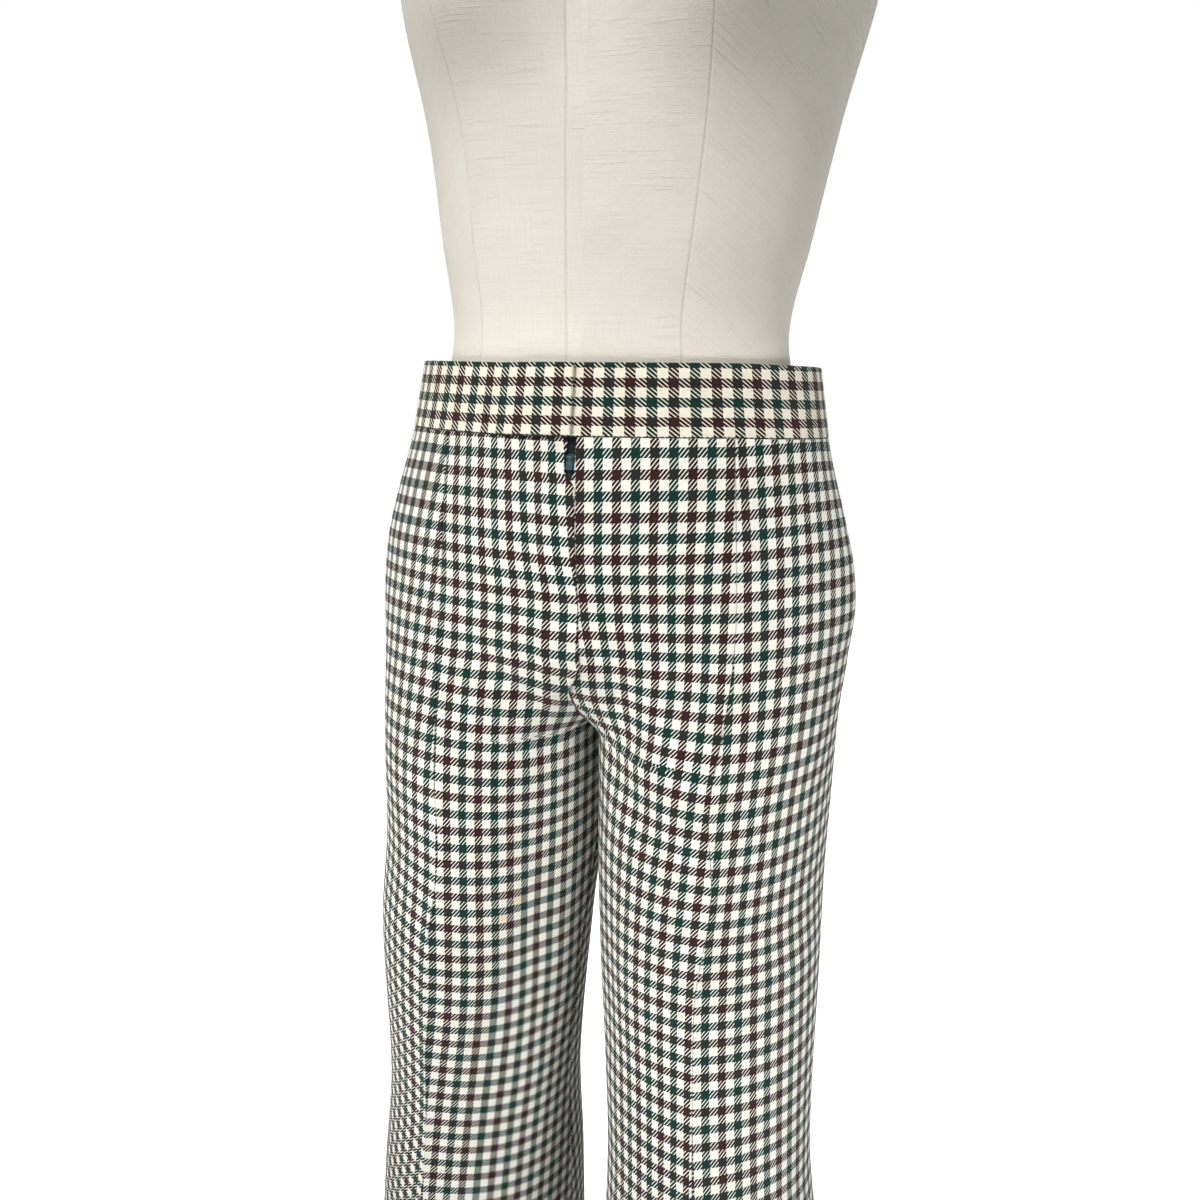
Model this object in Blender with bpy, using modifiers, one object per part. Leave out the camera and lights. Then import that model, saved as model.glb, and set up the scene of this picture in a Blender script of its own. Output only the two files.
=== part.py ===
"""Wide-leg trousers in checked wool, worn by a linen dress form on a pole stand.

Metres, +Z up. The front faces -Y and the wearer's left side is at +X.
The origin is the middle of the base plate's underside.
"""

import math
from collections import namedtuple

import bmesh
import bpy
import numpy as np
from mathutils import Matrix, Vector

# Cloth and gaps
WALL = 0.0016
BAND_WALL = 0.0024
SEAM_GAP = 0.0003
WELD = 0.00001
SHARP_ANGLE = 40.0

# Main heights of the trousers
WAIST_TOP = 1.070
BAND_HEIGHT = 0.045
CROTCH = 0.815
HEM = 0.035

# The waist sits lower at the back: its slope, where it is level, and its reach
WAIST_TILT = 0.036
TILT_FROM = -0.10
TILT_LOW = 0.82
TILT_LOW_REACH = 0.18
TILT_HIGH = 1.30
TILT_HIGH_REACH = 0.20

# The body part of the trousers, half of it, at falling heights
BodyRow = namedtuple("BodyRow", "height half_width front back")
BODY = (
    BodyRow(1.070, 0.1378, 0.0880, 0.0980),
    BodyRow(1.025, 0.1462, 0.0930, 0.1050),
    BodyRow(0.980, 0.1580, 0.0990, 0.1160),
    BodyRow(0.940, 0.1665, 0.1010, 0.1230),
    BodyRow(0.900, 0.1695, 0.1010, 0.1250),
    BodyRow(0.860, 0.1690, 0.0990, 0.1220),
    BodyRow(0.815, 0.1680, 0.0970, 0.1170),
    BodyRow(0.740, 0.1670, 0.0940, 0.1100),
)
BODY_POWER = 2.05

# One leg: where its middle is, its half width and depth, and how proud its
# pressed crease stands
LegRow = namedtuple("LegRow", "height middle half_width half_depth crease")
LEG = (
    LegRow(0.910, 0.0850, 0.0850, 0.1080, 0.0005),
    LegRow(0.815, 0.0845, 0.0845, 0.1030, 0.0020),
    LegRow(0.740, 0.0845, 0.0838, 0.0965, 0.0040),
    LegRow(0.640, 0.0900, 0.0830, 0.0920, 0.0070),
    LegRow(0.490, 0.0940, 0.0785, 0.0880, 0.0095),
    LegRow(0.380, 0.0970, 0.0850, 0.0960, 0.0100),
    LegRow(0.200, 0.1000, 0.0920, 0.1040, 0.0100),
    LegRow(0.035, 0.1010, 0.0940, 0.1070, 0.0100),
)
CREASE_REACH = 48.0

# How each side hangs away from its mirrored place, how far its toes turn out,
# and the angle from the centre front where the body has its pressed seam
HangRow = namedtuple("HangRow", "height across back turn seam")
HANG = {
    +1: (
        HangRow(1.025, 0.0000, 0.0000, 4.0, 41.5),
        HangRow(0.930, -0.0020, 0.0000, 4.0, 39.5),
        HangRow(0.815, -0.0020, 0.0020, 5.0, 42.0),
        HangRow(0.730, -0.0030, 0.0050, 12.0, 39.0),
        HangRow(0.640, -0.0060, 0.0080, 6.0, 39.0),
        HangRow(0.490, -0.0010, -0.0030, 5.5, 39.0),
        HangRow(0.340, 0.0070, -0.0150, 6.0, 39.0),
        HangRow(0.035, 0.0070, -0.0200, 6.0, 39.0),
    ),
    -1: (
        HangRow(1.025, 0.0000, 0.0000, 4.0, 39.0),
        HangRow(0.930, -0.0020, 0.0000, 4.0, 32.5),
        HangRow(0.815, -0.0020, 0.0020, 5.0, 33.5),
        HangRow(0.730, -0.0030, 0.0050, 3.0, 37.0),
        HangRow(0.640, -0.0070, 0.0090, 5.0, 39.0),
        HangRow(0.490, -0.0120, 0.0250, 6.0, 39.0),
        HangRow(0.340, -0.0160, 0.0400, 6.0, 39.0),
        HangRow(0.035, -0.0160, 0.0420, 6.0, 39.0),
    ),
}

# Three panels a leg, cut at seams. A place round half the trousers is an angle:
# 0 at the centre front and inseam, CREASE at the pressed seam of the front,
# SIDE at the side seam and 180 at the centre back and inseam again.
CREASE = 41.0
SIDE = 93.0
Panel = namedtuple("Panel", "name start end columns")
PANELS = (
    Panel("front_centre", 0.0, CREASE, 7),
    Panel("front_side", CREASE, SIDE, 7),
    Panel("back", SIDE, 180.0, 11),
)
GIRTH_RADIUS = 0.14
MIN_SPREAD = 0.0008
RISE_FRONT = 0.905
RISE_BACK = 0.945
SPLIT_TOP = 0.935
SPLIT_END = 0.725
BACK_BLEND = 118.0

# Soft folds: from an angle and height to another, with a width and how far
# they stand out (or in, below zero)
Fold = namedtuple("Fold", "side angle_1 height_1 angle_2 height_2 width depth")
FOLDS = (
    Fold(-1, 31.0, 0.880, 5.0, 0.822, 0.013, -0.0035),
    Fold(-1, 25.0, 0.845, 8.0, 0.790, 0.014, -0.0030),
    Fold(-1, 29.0, 0.862, 9.0, 0.808, 0.011, 0.0025),
    Fold(+1, 11.0, 0.880, 19.0, 0.835, 0.014, -0.0035),
    Fold(+1, 18.0, 0.870, 35.0, 0.800, 0.017, 0.0045),
    Fold(+1, 14.0, 0.820, 29.0, 0.760, 0.014, -0.0028),
    Fold(-1, 12.0, 0.720, 14.0, 0.560, 0.026, -0.0050),
    Fold(+1, 10.0, 0.700, 13.0, 0.580, 0.022, -0.0030),
    Fold(+1, 90.0, 0.960, 93.0, 0.880, 0.030, 0.0055),
    Fold(-1, 84.0, 0.955, 88.0, 0.900, 0.030, 0.0015),
    Fold(+1, 163.0, 0.860, 176.0, 0.800, 0.016, -0.0040),
    Fold(-1, 161.0, 0.868, 175.0, 0.805, 0.017, -0.0035),
    Fold(+1, 154.0, 0.835, 172.0, 0.775, 0.015, 0.0030),
    Fold(-1, 151.0, 0.840, 171.0, 0.770, 0.016, 0.0034),
    Fold(+1, 141.0, 0.560, 155.0, 0.480, 0.024, -0.0035),
    Fold(-1, 136.0, 0.600, 150.0, 0.500, 0.027, -0.0032),
)

# A fold's depth at its ends, as a share of its depth half way
FOLD_ENDS = 0.55

# How near to the middle the folds end
SMOOTH_TO = 0.008
SMOOTH_EASE = 0.022

# Fly: the right front laps over the left one, and both draw back at the top
FLY_END = 0.842
FLY_RAMP = 0.012
FLY_LAP = 0.0040
FLY_FLAT = 0.010
FLY_SLOPE = 0.014
FLY_NOTCH_END = 0.992
FLY_NOTCH_RAMP = 0.012
FLY_NOTCH = 0.0038
FLY_BACK = 0.0032

# Waistband: its hidden end, how far it takes to rise over it, and its top layer's end
BAND_LAP = 0.024
BAND_RAMP = 0.045
BAND_END = 360.0
BAND_PROUD = 0.0006
BAND_COLUMNS = 56
BAND_ROWS = 2

# Zip
TAPE_WALL = 0.0010
TAPE_HALF_WIDTH = 0.0120
TAPE_COLUMNS = 4
TAPE_END = 0.902
SLIDER_X = 0.0004
SLIDER_WIDTH = 0.0046
SLIDER_HEIGHT = 0.0080
SLIDER_DEPTH = 0.0022
SLIDER_SEAT = 0.0003
SLIDER_MIDDLE = 1.0105
SLIDER_BEVEL = 0.0005
PIN_DROP = 0.0024
PIN_OUT = 0.0014
PIN_RADIUS = 0.0005
PIN_INSET = 0.00005
LUG_NEAR = 0.0014
LUG_FAR = 0.0021
LUG_HALF = 0.0011
LUG_SINK = 0.0003
TAB_WIDTH = 0.0040
TAB_LENGTH = 0.0078
TAB_DEPTH = 0.0008
TAB_EYE = 0.0012
TAB_BORE = 0.0008
TAB_NECK = 0.0011
TAB_SHOULDER = 0.0019
TAB_SINK = 0.0004

# The panels' rows: how many lie between one height and the next, down to the hem
PANEL_TOP = WAIST_TOP - BAND_HEIGHT - SEAM_GAP
RowStep = namedtuple("RowStep", "height rows curved")
ROW_STEPS = (
    RowStep(0.995, 4, False),
    RowStep(RISE_FRONT, 5, False),
    RowStep(CROTCH, 8, True),
    RowStep(0.740, 6, False),
    RowStep(0.440, 9, False),
    RowStep(HEM, 6, False),
)

# Dress form: its own sections, kept inside the cloth where they meet it
FormRow = namedtuple("FormRow", "height half_width front back")
FORM = (
    FormRow(0.870, 0.1740, 0.0880, 0.1040),
    FormRow(0.930, 0.1740, 0.0930, 0.1080),
    FormRow(0.965, 0.1580, 0.0920, 0.1040),
    FormRow(1.010, 0.1370, 0.0850, 0.0930),
    FormRow(1.050, 0.1240, 0.0790, 0.0840),
    FormRow(1.090, 0.1185, 0.0790, 0.0790),
    FormRow(1.150, 0.1290, 0.0860, 0.0840),
    FormRow(1.220, 0.1420, 0.0930, 0.0950),
    FormRow(1.300, 0.1550, 0.0930, 0.1060),
    FormRow(1.370, 0.1620, 0.0860, 0.1080),
    FormRow(1.420, 0.1650, 0.0740, 0.0960),
    FormRow(1.455, 0.1480, 0.0620, 0.0800),
    FormRow(1.480, 0.0980, 0.0540, 0.0660),
    FormRow(1.495, 0.0640, 0.0500, 0.0560),
    FormRow(1.515, 0.0540, 0.0480, 0.0500),
    FormRow(1.560, 0.0500, 0.0470, 0.0480),
)
FORM_BOTTOM = 0.870
FORM_CURVE = 0.020
FORM_CURVE_IN = 0.10
FORM_CURVE_ROWS = 3
FORM_NECK = 1.560
FORM_CLEAR = 0.0006
FORM_ROWS = 17
BUST_HEIGHT = 1.305
BUST_AWAY = 0.082
BUST_REACH = 0.058
BUST_DEPTH = 0.030

# Stand: the pole runs down inside the left leg
CAP_RADIUS = 0.050
CAP_HEIGHT = 0.014
CAP_BEVEL = 0.004
POLE_X = 0.034
POLE_RADIUS = 0.0125
COLLAR_RADIUS = 0.026
COLLAR_HEIGHT = 0.020
COLLAR_BEVEL = 0.002
BASE_RADIUS = 0.220
BASE_HEIGHT = 0.008
BASE_BEVEL = 0.003


def through(rows, heights):
    """Smooth curves through the columns of a table whose first column is height."""
    table = np.array(sorted(tuple(row) for row in rows), float)
    knots, values = table[:, 0], table[:, 1:]
    steps = np.diff(knots)
    slopes = np.diff(values, axis=0) / steps[:, None]
    tangents = np.zeros_like(values)
    tangents[0], tangents[-1] = slopes[0], slopes[-1]
    for i in range(1, len(knots) - 1):
        before, after = slopes[i - 1], slopes[i]
        near, far = 2 * steps[i] + steps[i - 1], steps[i] + 2 * steps[i - 1]
        same = before * after > 0
        tangents[i][same] = (near + far) / (near / before[same] + far / after[same])
    heights = np.clip(np.asarray(heights, float), knots[0], knots[-1])
    i = np.clip(np.searchsorted(knots, heights, side="right") - 1, 0, len(knots) - 2)
    length = steps[i][..., None]
    t = ((heights - knots[i]) / steps[i])[..., None]
    return (
        (2 * t**3 - 3 * t**2 + 1) * values[i]
        + (t**3 - 2 * t**2 + t) * length * tangents[i]
        + (3 * t**2 - 2 * t**3) * values[i + 1]
        + (t**3 - t**2) * length * tangents[i + 1]
    )


def ease(x):
    """Smooth step from 0 to 1."""
    x = np.clip(x, 0.0, 1.0)
    return x * x * (3 - 2 * x)


def rounded(half_width, front, back, angle):
    """Point of a rounded section, its angle in degrees from the centre front."""
    sine, cosine = np.sin(np.radians(angle)), np.cos(np.radians(angle))
    power = 2.0 / BODY_POWER
    x = half_width * np.abs(sine) ** power * np.sign(sine)
    y = np.where(cosine > 0, -front, back) * np.abs(cosine) ** power
    return x, y


def body_point(angle, height, seam=CREASE):
    """Half of the trousers' body, as a single ring with no legs."""
    row = through(BODY, height)
    bend = np.minimum(np.abs(angle) / CREASE, np.clip((SIDE - angle) / (SIDE - CREASE), 0, 1))
    angle = angle + np.sign(angle) * (seam - CREASE) * bend
    return rounded(row[..., 0], row[..., 1], row[..., 2], angle)


def leg_point(angle, height, turn):
    """One leg as a tube with a pressed crease at its front and back."""
    row = through(LEG, height)
    middle, half_width, half_depth, crease = (row[..., k] for k in range(4))
    sine, cosine = np.sin(np.radians(angle)), np.cos(np.radians(angle))
    front = np.clip(1 - np.abs(angle) / CREASE_REACH, 0, 1) ** 2
    back = np.clip(1 - np.abs(angle - 180) / CREASE_REACH, 0, 1) ** 2
    x = half_width * sine
    y = -half_depth * cosine + crease * (back - front)
    turn = np.radians(turn)
    return middle + x * np.cos(turn) - y * np.sin(turn), x * np.sin(turn) + y * np.cos(turn)


def leg_angle(angle):
    """The angle round a leg, from its front crease, for a place round the trousers."""
    before = 90.0 * (np.minimum(angle, CREASE) - CREASE) / CREASE
    front = np.clip(angle - CREASE, 0, SIDE - CREASE) * SIDE / (SIDE - CREASE)
    return before + front + np.maximum(angle - SIDE, 0) * (270.0 - SIDE) / (180.0 - SIDE)


def leg_share(angle, height):
    """How far a point follows its leg (1) and not the body (0)."""
    side = ease((SPLIT_TOP - height) / (SPLIT_TOP - SPLIT_END))
    rise = np.where(angle < SIDE, RISE_FRONT, RISE_BACK)
    fall = np.clip((rise - height) / (rise - CROTCH), 0, 1)
    centre = 1 - np.sqrt(np.clip(1 - fall**2, 0, 1))
    front = ease(1 - angle / CREASE)
    back = ease((angle - BACK_BLEND) / (180.0 - BACK_BLEND))
    near = front + back
    return side * (1 - near) + centre * near


def middle_line(height):
    """Where the plane between the legs lies."""
    return (through(HANG[+1], height)[..., 0] + through(HANG[-1], height)[..., 0]) / 2


def fold_lift(side, angle, height):
    """How far the folds lift the surface."""
    lift = np.zeros(np.broadcast(angle, height).shape)
    girth = np.radians(angle) * GIRTH_RADIUS
    for fold in FOLDS:
        if fold.side != side:
            continue
        start = np.array((math.radians(fold.angle_1) * GIRTH_RADIUS, fold.height_1))
        end = np.array((math.radians(fold.angle_2) * GIRTH_RADIUS, fold.height_2))
        length = float(np.hypot(*(end - start)))
        run = (end - start) / length
        across, down = girth - start[0], height - start[1]
        along = (across * run[0] + down * run[1]) / length
        beside = (across * run[1] - down * run[0]) / fold.width
        past = np.maximum(np.maximum(-along, along - 1), 0) * length / fold.width
        middle = FOLD_ENDS + (1 - FOLD_ENDS) * np.sin(np.pi * np.clip(along, 0, 1))
        lift = lift + fold.depth * middle * np.exp(-(beside**2) - past**2)
    return lift


def tilted(points):
    """The waist sits a little lower at the back than at the front."""
    y, z = points[..., 1], points[..., 2]
    share = ease((z - TILT_LOW) / TILT_LOW_REACH) * ease((TILT_HIGH - z) / TILT_HIGH_REACH)
    points[..., 2] = z - WAIST_TILT * (y - TILT_FROM) * share
    return points


def cloth_raw(side, angle, height):
    """The trousers' surface with no folds; below 0 it goes on past the centre front."""
    angle, height = np.broadcast_arrays(angle, height)
    way = np.where(angle < 0, -side, side)
    angle = np.abs(angle)
    hang = through(HANG[side], height)
    body_x, body_y = body_point(angle, height, hang[..., 3])
    leg_x, leg_y = leg_point(leg_angle(angle), height, hang[..., 2])
    share = leg_share(angle, height)
    x = body_x * (1 - share) + leg_x * share
    y = body_y * (1 - share) + leg_y * share
    middle = middle_line(height)
    # The legs' inner sides stay just apart
    away = np.maximum(side * (side * x + hang[..., 0] - middle), SEAM_GAP / 2)
    return tilted(np.stack((middle + way * away, y + hang[..., 1], height + 0 * x), -1))


def normals(side, angle, height):
    """Outward normals of the surface."""
    turn, rise = 0.3, 0.0015
    low = np.maximum(angle - turn, np.minimum(angle, 0))
    high = np.minimum(angle + turn, 180)
    along = cloth_raw(side, high, height) - cloth_raw(side, low, height)
    up = cloth_raw(side, angle, height + rise) - cloth_raw(side, angle, height - rise)
    normal = np.cross(along, up) * side
    return normal / np.linalg.norm(normal, axis=-1, keepdims=True)


def cloth_point(side, angle, height, out=0.0):
    """The surface with its folds, moved out by a distance."""
    angle, height = np.broadcast_arrays(angle, height)
    points = cloth_raw(side, angle, height)
    # The fly and the inner thighs, close to the middle, stay smooth
    away = np.abs(points[..., 0] - middle_line(height))
    lift = fold_lift(side, angle, height) * ease((away - SMOOTH_TO) / SMOOTH_EASE) + out
    return points + normals(side, angle, height) * lift[..., None]


def row_heights():
    """Heights of a panel's rows, closest where the rise curves in to the crotch."""
    heights = [PANEL_TOP]
    for step in ROW_STEPS:
        if step.curved:
            turns = np.sin(np.linspace(0, math.pi / 2, step.rows + 1))[1:]
        else:
            turns = np.linspace(0, 1, step.rows + 1)[1:]
        heights.extend(heights[-1] + (step.height - heights[-1]) * turns)
    return np.array(heights)


def first_edge(side, panel, heights):
    """How far a panel's first edge lies from its seam line, in metres."""
    edge = np.full(heights.shape, SEAM_GAP / 2)
    if panel.name != "front_centre":
        return edge
    in_notch = ease((heights - FLY_NOTCH_END) / FLY_NOTCH_RAMP)
    if side > 0:
        return edge + FLY_NOTCH * in_notch
    lap = FLY_LAP * ease((heights - FLY_END - 2 * FLY_RAMP) / FLY_RAMP)
    return edge - lap * (1 - in_notch) + (FLY_BACK - SEAM_GAP) * in_notch


def fly_lift(side, angle, heights):
    """The right front is raised near its edge, where it laps over the left one."""
    if side > 0:
        return np.zeros(np.broadcast(angle, heights).shape)
    away = np.radians(angle) * GIRTH_RADIUS
    near = ease((FLY_FLAT + FLY_SLOPE - away) / FLY_SLOPE)
    return (WALL + SEAM_GAP) * near * ease((heights - FLY_END) / FLY_RAMP)


def panel_grid(side, panel, heights):
    """The angles of a panel's grid points, from its first seam to its last."""
    turn = 0.5
    first = cloth_raw(side, panel.start + turn, heights) - cloth_raw(side, panel.start, heights)
    last = cloth_raw(side, panel.end, heights) - cloth_raw(side, panel.end - turn, heights)
    first = np.linalg.norm(first, axis=-1) / turn
    last = np.linalg.norm(last, axis=-1) / turn
    low = panel.start + first_edge(side, panel, heights) / np.maximum(first, MIN_SPREAD)
    high = panel.end - SEAM_GAP / 2 / np.maximum(last, MIN_SPREAD)
    share = np.linspace(0, 1, panel.columns + 1)
    return low[:, None] + (high - low)[:, None] * share[None, :]


def grid_layer(bm, points, reverse):
    """One surface of a wall: a grid primitive whose vertices move to their points."""
    rows, columns = points.shape[0] - 1, points.shape[1] - 1
    known = set(bm.edges)
    made = bmesh.ops.create_grid(bm, x_segments=columns, y_segments=rows, size=1.0)["verts"]
    for vertex in made:
        i = round((vertex.co.x + 1) / 2 * columns)
        j = round((vertex.co.y + 1) / 2 * rows)
        vertex.co = Vector(points[j, i])
    if reverse:
        corners = set(made)
        bmesh.ops.reverse_faces(bm, faces=[f for f in bm.faces if f.verts[0] in corners])
    return [edge for edge in bm.edges if edge not in known and edge.is_boundary]


def add_object(name, bm, material):
    """An object in the model's collection, from a finished bmesh."""
    mesh = bpy.data.meshes.new(name)
    bm.to_mesh(mesh)
    bm.free()
    mesh.materials.append(material)
    mesh.shade_smooth()
    mesh.set_sharp_from_angle(angle=math.radians(SHARP_ANGLE))
    made = bpy.data.objects.new(name, mesh)
    model.objects.link(made)
    return made


def add_wall(name, outer, inner, material):
    """A cloth wall between an outer and an inner grid of points."""
    bm = bmesh.new()
    rims = grid_layer(bm, outer, False) + grid_layer(bm, inner, True)
    bmesh.ops.bridge_loops(bm, edges=rims)
    bmesh.ops.recalc_face_normals(bm, faces=bm.faces)
    return add_object(name, bm, material)


def add_panel(side, panel, material):
    """One cut panel of a leg, from the waistband seam to the hem."""
    heights = row_heights()
    angle = panel_grid(side, panel, heights)
    heights = np.broadcast_to(heights[:, None], angle.shape)
    lift = fly_lift(side, angle, heights)
    name = panel.name + ("_left" if side > 0 else "_right")
    outer = cloth_point(side, angle, heights, lift)
    inner = cloth_point(side, angle, heights, lift - WALL)
    return add_wall(name, outer, inner, material)


def band_point(angle, heights, out):
    """A point of the waistband's ring, moved out by a distance."""
    def ring(turn, level):
        x, y = body_point(turn, level)
        return tilted(np.stack((x, y, level + 0 * x), -1))

    turn, rise = 0.5, 0.001
    along = ring(angle + turn, heights) - ring(angle - turn, heights)
    up = ring(angle, heights + rise) - ring(angle, heights - rise)
    normal = np.cross(along, up)
    normal = normal / np.linalg.norm(normal, axis=-1, keepdims=True)
    return ring(angle, heights) + normal * out[..., None]


def add_waistband(material):
    """A stiff strip round the waist, its right end lapping over its left at the front."""
    degrees = math.degrees(1 / BODY[0].half_width)
    hidden, ramp = BAND_LAP * degrees, BAND_RAMP * degrees
    angle = np.linspace(-hidden, BAND_END, BAND_COLUMNS + 1)[None, :]
    heights = np.linspace(WAIST_TOP, WAIST_TOP - BAND_HEIGHT, BAND_ROWS + 1)[:, None]
    angle, heights = np.broadcast_arrays(angle, heights)
    over = ease((angle - (360 - hidden - ramp)) / ramp)
    out = BAND_PROUD + (BAND_WALL + SEAM_GAP) * over
    outer = band_point(angle, heights, out)
    inner = band_point(angle, heights, out - BAND_WALL)
    return add_wall("waistband", outer, inner, material)


def tape_point(across, heights, out):
    """A point behind the fly, across the centre front in metres."""
    angle = np.degrees(np.abs(across) / GIRTH_RADIUS)
    left = cloth_point(+1, angle, heights, out)
    right = cloth_point(-1, angle, heights, out)
    return np.where((across >= 0)[..., None], left, right)


def add_zip_tape(material):
    """The zip's tape, close behind the left front and the fly's opening."""
    across = np.linspace(-TAPE_HALF_WIDTH, TAPE_HALF_WIDTH, TAPE_COLUMNS + 1)[None, :]
    heights = row_heights()[1:]
    heights = heights[heights > TAPE_END][:, None]
    across, heights = np.broadcast_arrays(across, heights)
    behind = -(WALL + SEAM_GAP) + 0 * across
    outer = tape_point(across, heights, behind)
    inner = tape_point(across, heights, behind - TAPE_WALL)
    return add_wall("zip_tape", outer, inner, material)


def slider_frame():
    """Where the zip slider's pin lies, and the slope that the slider follows."""
    level = np.array(SLIDER_MIDDLE + SLIDER_HEIGHT / 2 - PIN_DROP)
    here = tape_point(np.array(SLIDER_X), level, np.array(0.0))
    below = tape_point(np.array(SLIDER_X), level - SLIDER_HEIGHT, np.array(0.0))
    slope = math.atan2(here[1] - below[1], here[2] - below[2])
    return Matrix.Translation(Vector(here)) @ Matrix.Rotation(-slope, 4, "X")


def box_part(name, low, high, bevel, material):
    """A box between two corners with small rounded edges."""
    bm = bmesh.new()
    made = bmesh.ops.create_cube(bm, size=1.0)["verts"]
    size = Vector(high) - Vector(low)
    bmesh.ops.scale(bm, vec=size, verts=made)
    bmesh.ops.translate(bm, vec=(Vector(low) + Vector(high)) / 2, verts=made)
    if bevel:
        bmesh.ops.bevel(
            bm, geom=bm.edges[:], offset=bevel, segments=1, affect="EDGES", clamp_overlap=True
        )
    return add_object(name, bm, material)


def rod_part(name, radius, length, middle, material, segments=16):
    """A cylinder along X."""
    bm = bmesh.new()
    made = bmesh.ops.create_cone(
        bm, cap_ends=True, segments=segments, radius1=radius, radius2=radius, depth=length
    )["verts"]
    bmesh.ops.rotate(bm, cent=(0, 0, 0), matrix=Matrix.Rotation(math.pi / 2, 3, "Y"), verts=made)
    bmesh.ops.translate(bm, vec=middle, verts=made)
    return add_object(name, bm, material)


def combine(target, tool, operation):
    """Joins or cuts one object with another, which becomes a hidden guide."""
    model.objects.unlink(tool)
    cutters.objects.link(tool)
    tool.hide_render = True
    tool.display_type = "WIRE"
    change = target.modifiers.new(operation.lower() + "_" + tool.name, "BOOLEAN")
    change.operation = operation
    change.object = tool


def add_slider(frame, material):
    """The zip's slider: a rounded body with two lugs that hold the tab's pin."""
    half = SLIDER_WIDTH / 2
    back = WALL + SEAM_GAP - SLIDER_SEAT
    front = back - SLIDER_DEPTH
    body = box_part(
        "zip_slider",
        (-half, front, PIN_DROP - SLIDER_HEIGHT),
        (half, back, PIN_DROP),
        SLIDER_BEVEL,
        material,
    )
    pin_y = front - PIN_OUT
    guides = [rod_part("pin", PIN_RADIUS, 2 * (LUG_FAR - PIN_INSET), (0, pin_y, 0), material)]
    for sign in (-1, 1):
        guides.append(
            box_part(
                "lug" + ("_left" if sign > 0 else "_right"),
                (min(sign * LUG_NEAR, sign * LUG_FAR), pin_y - LUG_HALF, -LUG_HALF),
                (max(sign * LUG_NEAR, sign * LUG_FAR), front + LUG_SINK, LUG_HALF),
                0.0,
                material,
            )
        )
    for guide in guides:
        combine(body, guide, "UNION")
        guide.matrix_world = frame
    body.matrix_world = frame
    return pin_y


def add_pull_tab(frame, pin_y, material):
    """The tab that hangs from the slider's pin and swings up about it."""
    pivot = frame @ Matrix.Translation((0, pin_y, 0))
    tab = rod_part("zip_pull_tab", TAB_EYE, 2 * TAB_NECK, (0, 0, 0), material)
    blade = box_part(
        "tab_blade",
        (-TAB_WIDTH / 2, -TAB_DEPTH / 2, -TAB_LENGTH),
        (TAB_WIDTH / 2, TAB_DEPTH / 2, -TAB_SHOULDER),
        TAB_DEPTH / 4,
        material,
    )
    neck = box_part(
        "tab_neck",
        (-TAB_NECK, -TAB_DEPTH / 2, -TAB_SHOULDER - TAB_SINK),
        (TAB_NECK, TAB_DEPTH / 2, -TAB_EYE / 2),
        0.0,
        material,
    )
    bore = rod_part("tab_bore", TAB_BORE, 4 * TAB_NECK, (0, 0, 0), material)
    for guide, operation in ((blade, "UNION"), (neck, "UNION"), (bore, "DIFFERENCE")):
        combine(tab, guide, operation)
        guide.matrix_world = pivot
    tab.matrix_world = pivot


def form_points(side, angle, heights, row):
    """Points of half the form: its own section, kept inside the cloth."""
    x, y = rounded(row[..., 0], row[..., 1], row[..., 2], angle)
    bust = ((x - BUST_AWAY) ** 2 + (heights - BUST_HEIGHT) ** 2) / BUST_REACH**2
    y = y - BUST_DEPTH * np.exp(-bust) * (y < 0)
    own = tilted(np.stack((side * x, y, heights + 0 * x), -1))
    inset = cloth_point(side, angle, heights, -(WALL + FORM_CLEAR))
    too_wide = np.hypot(own[..., 0], own[..., 1]) > np.hypot(inset[..., 0], inset[..., 1])
    too_wide = too_wide & (heights < PANEL_TOP)
    return np.where(too_wide[..., None], inset, own)


def form_rings(heights):
    """The form's surface: rings of points from the centre front round by the left."""
    row = through(FORM, heights)[:, None, :]
    spans = [np.linspace(panel.start, panel.end, panel.columns + 1)[1:] for panel in PANELS]
    angle = np.concatenate([[0.0], *spans])[None, :]
    left = form_points(+1, angle, heights[:, None], row)
    right = form_points(-1, angle, heights[:, None], row)
    return np.concatenate((left, right[:, -2::-1]), 1)


def add_form(material):
    """The limbless dress form: a smooth whole body with a flat underside and neck."""
    by_cloth = [height for height in row_heights()[::-1] if height > FORM_BOTTOM + FORM_CURVE]
    above = np.linspace(PANEL_TOP, FORM_NECK, FORM_ROWS + 1)[1:]
    heights = np.concatenate([by_cloth, above])
    rings = form_rings(heights)
    base = []
    for turn in np.linspace(0, math.pi / 2, FORM_CURVE_ROWS + 1)[:-1]:
        ring = rings[0] * (1 - FORM_CURVE_IN * (1 - math.sin(turn)))
        ring[:, 2] = rings[0][:, 2] - FORM_CURVE * math.cos(turn)
        base.append(ring)
    base[0][:, 2] = FORM_BOTTOM
    rings = np.concatenate([np.stack(base), rings])
    rings[-1][:, 2] = FORM_NECK
    bm = bmesh.new()
    grid_layer(bm, rings, False)
    bmesh.ops.remove_doubles(bm, verts=bm.verts, dist=WELD)
    bmesh.ops.holes_fill(bm, edges=[edge for edge in bm.edges if edge.is_boundary])
    bmesh.ops.recalc_face_normals(bm, faces=bm.faces)
    return add_object("form_body", bm, material)


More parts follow.
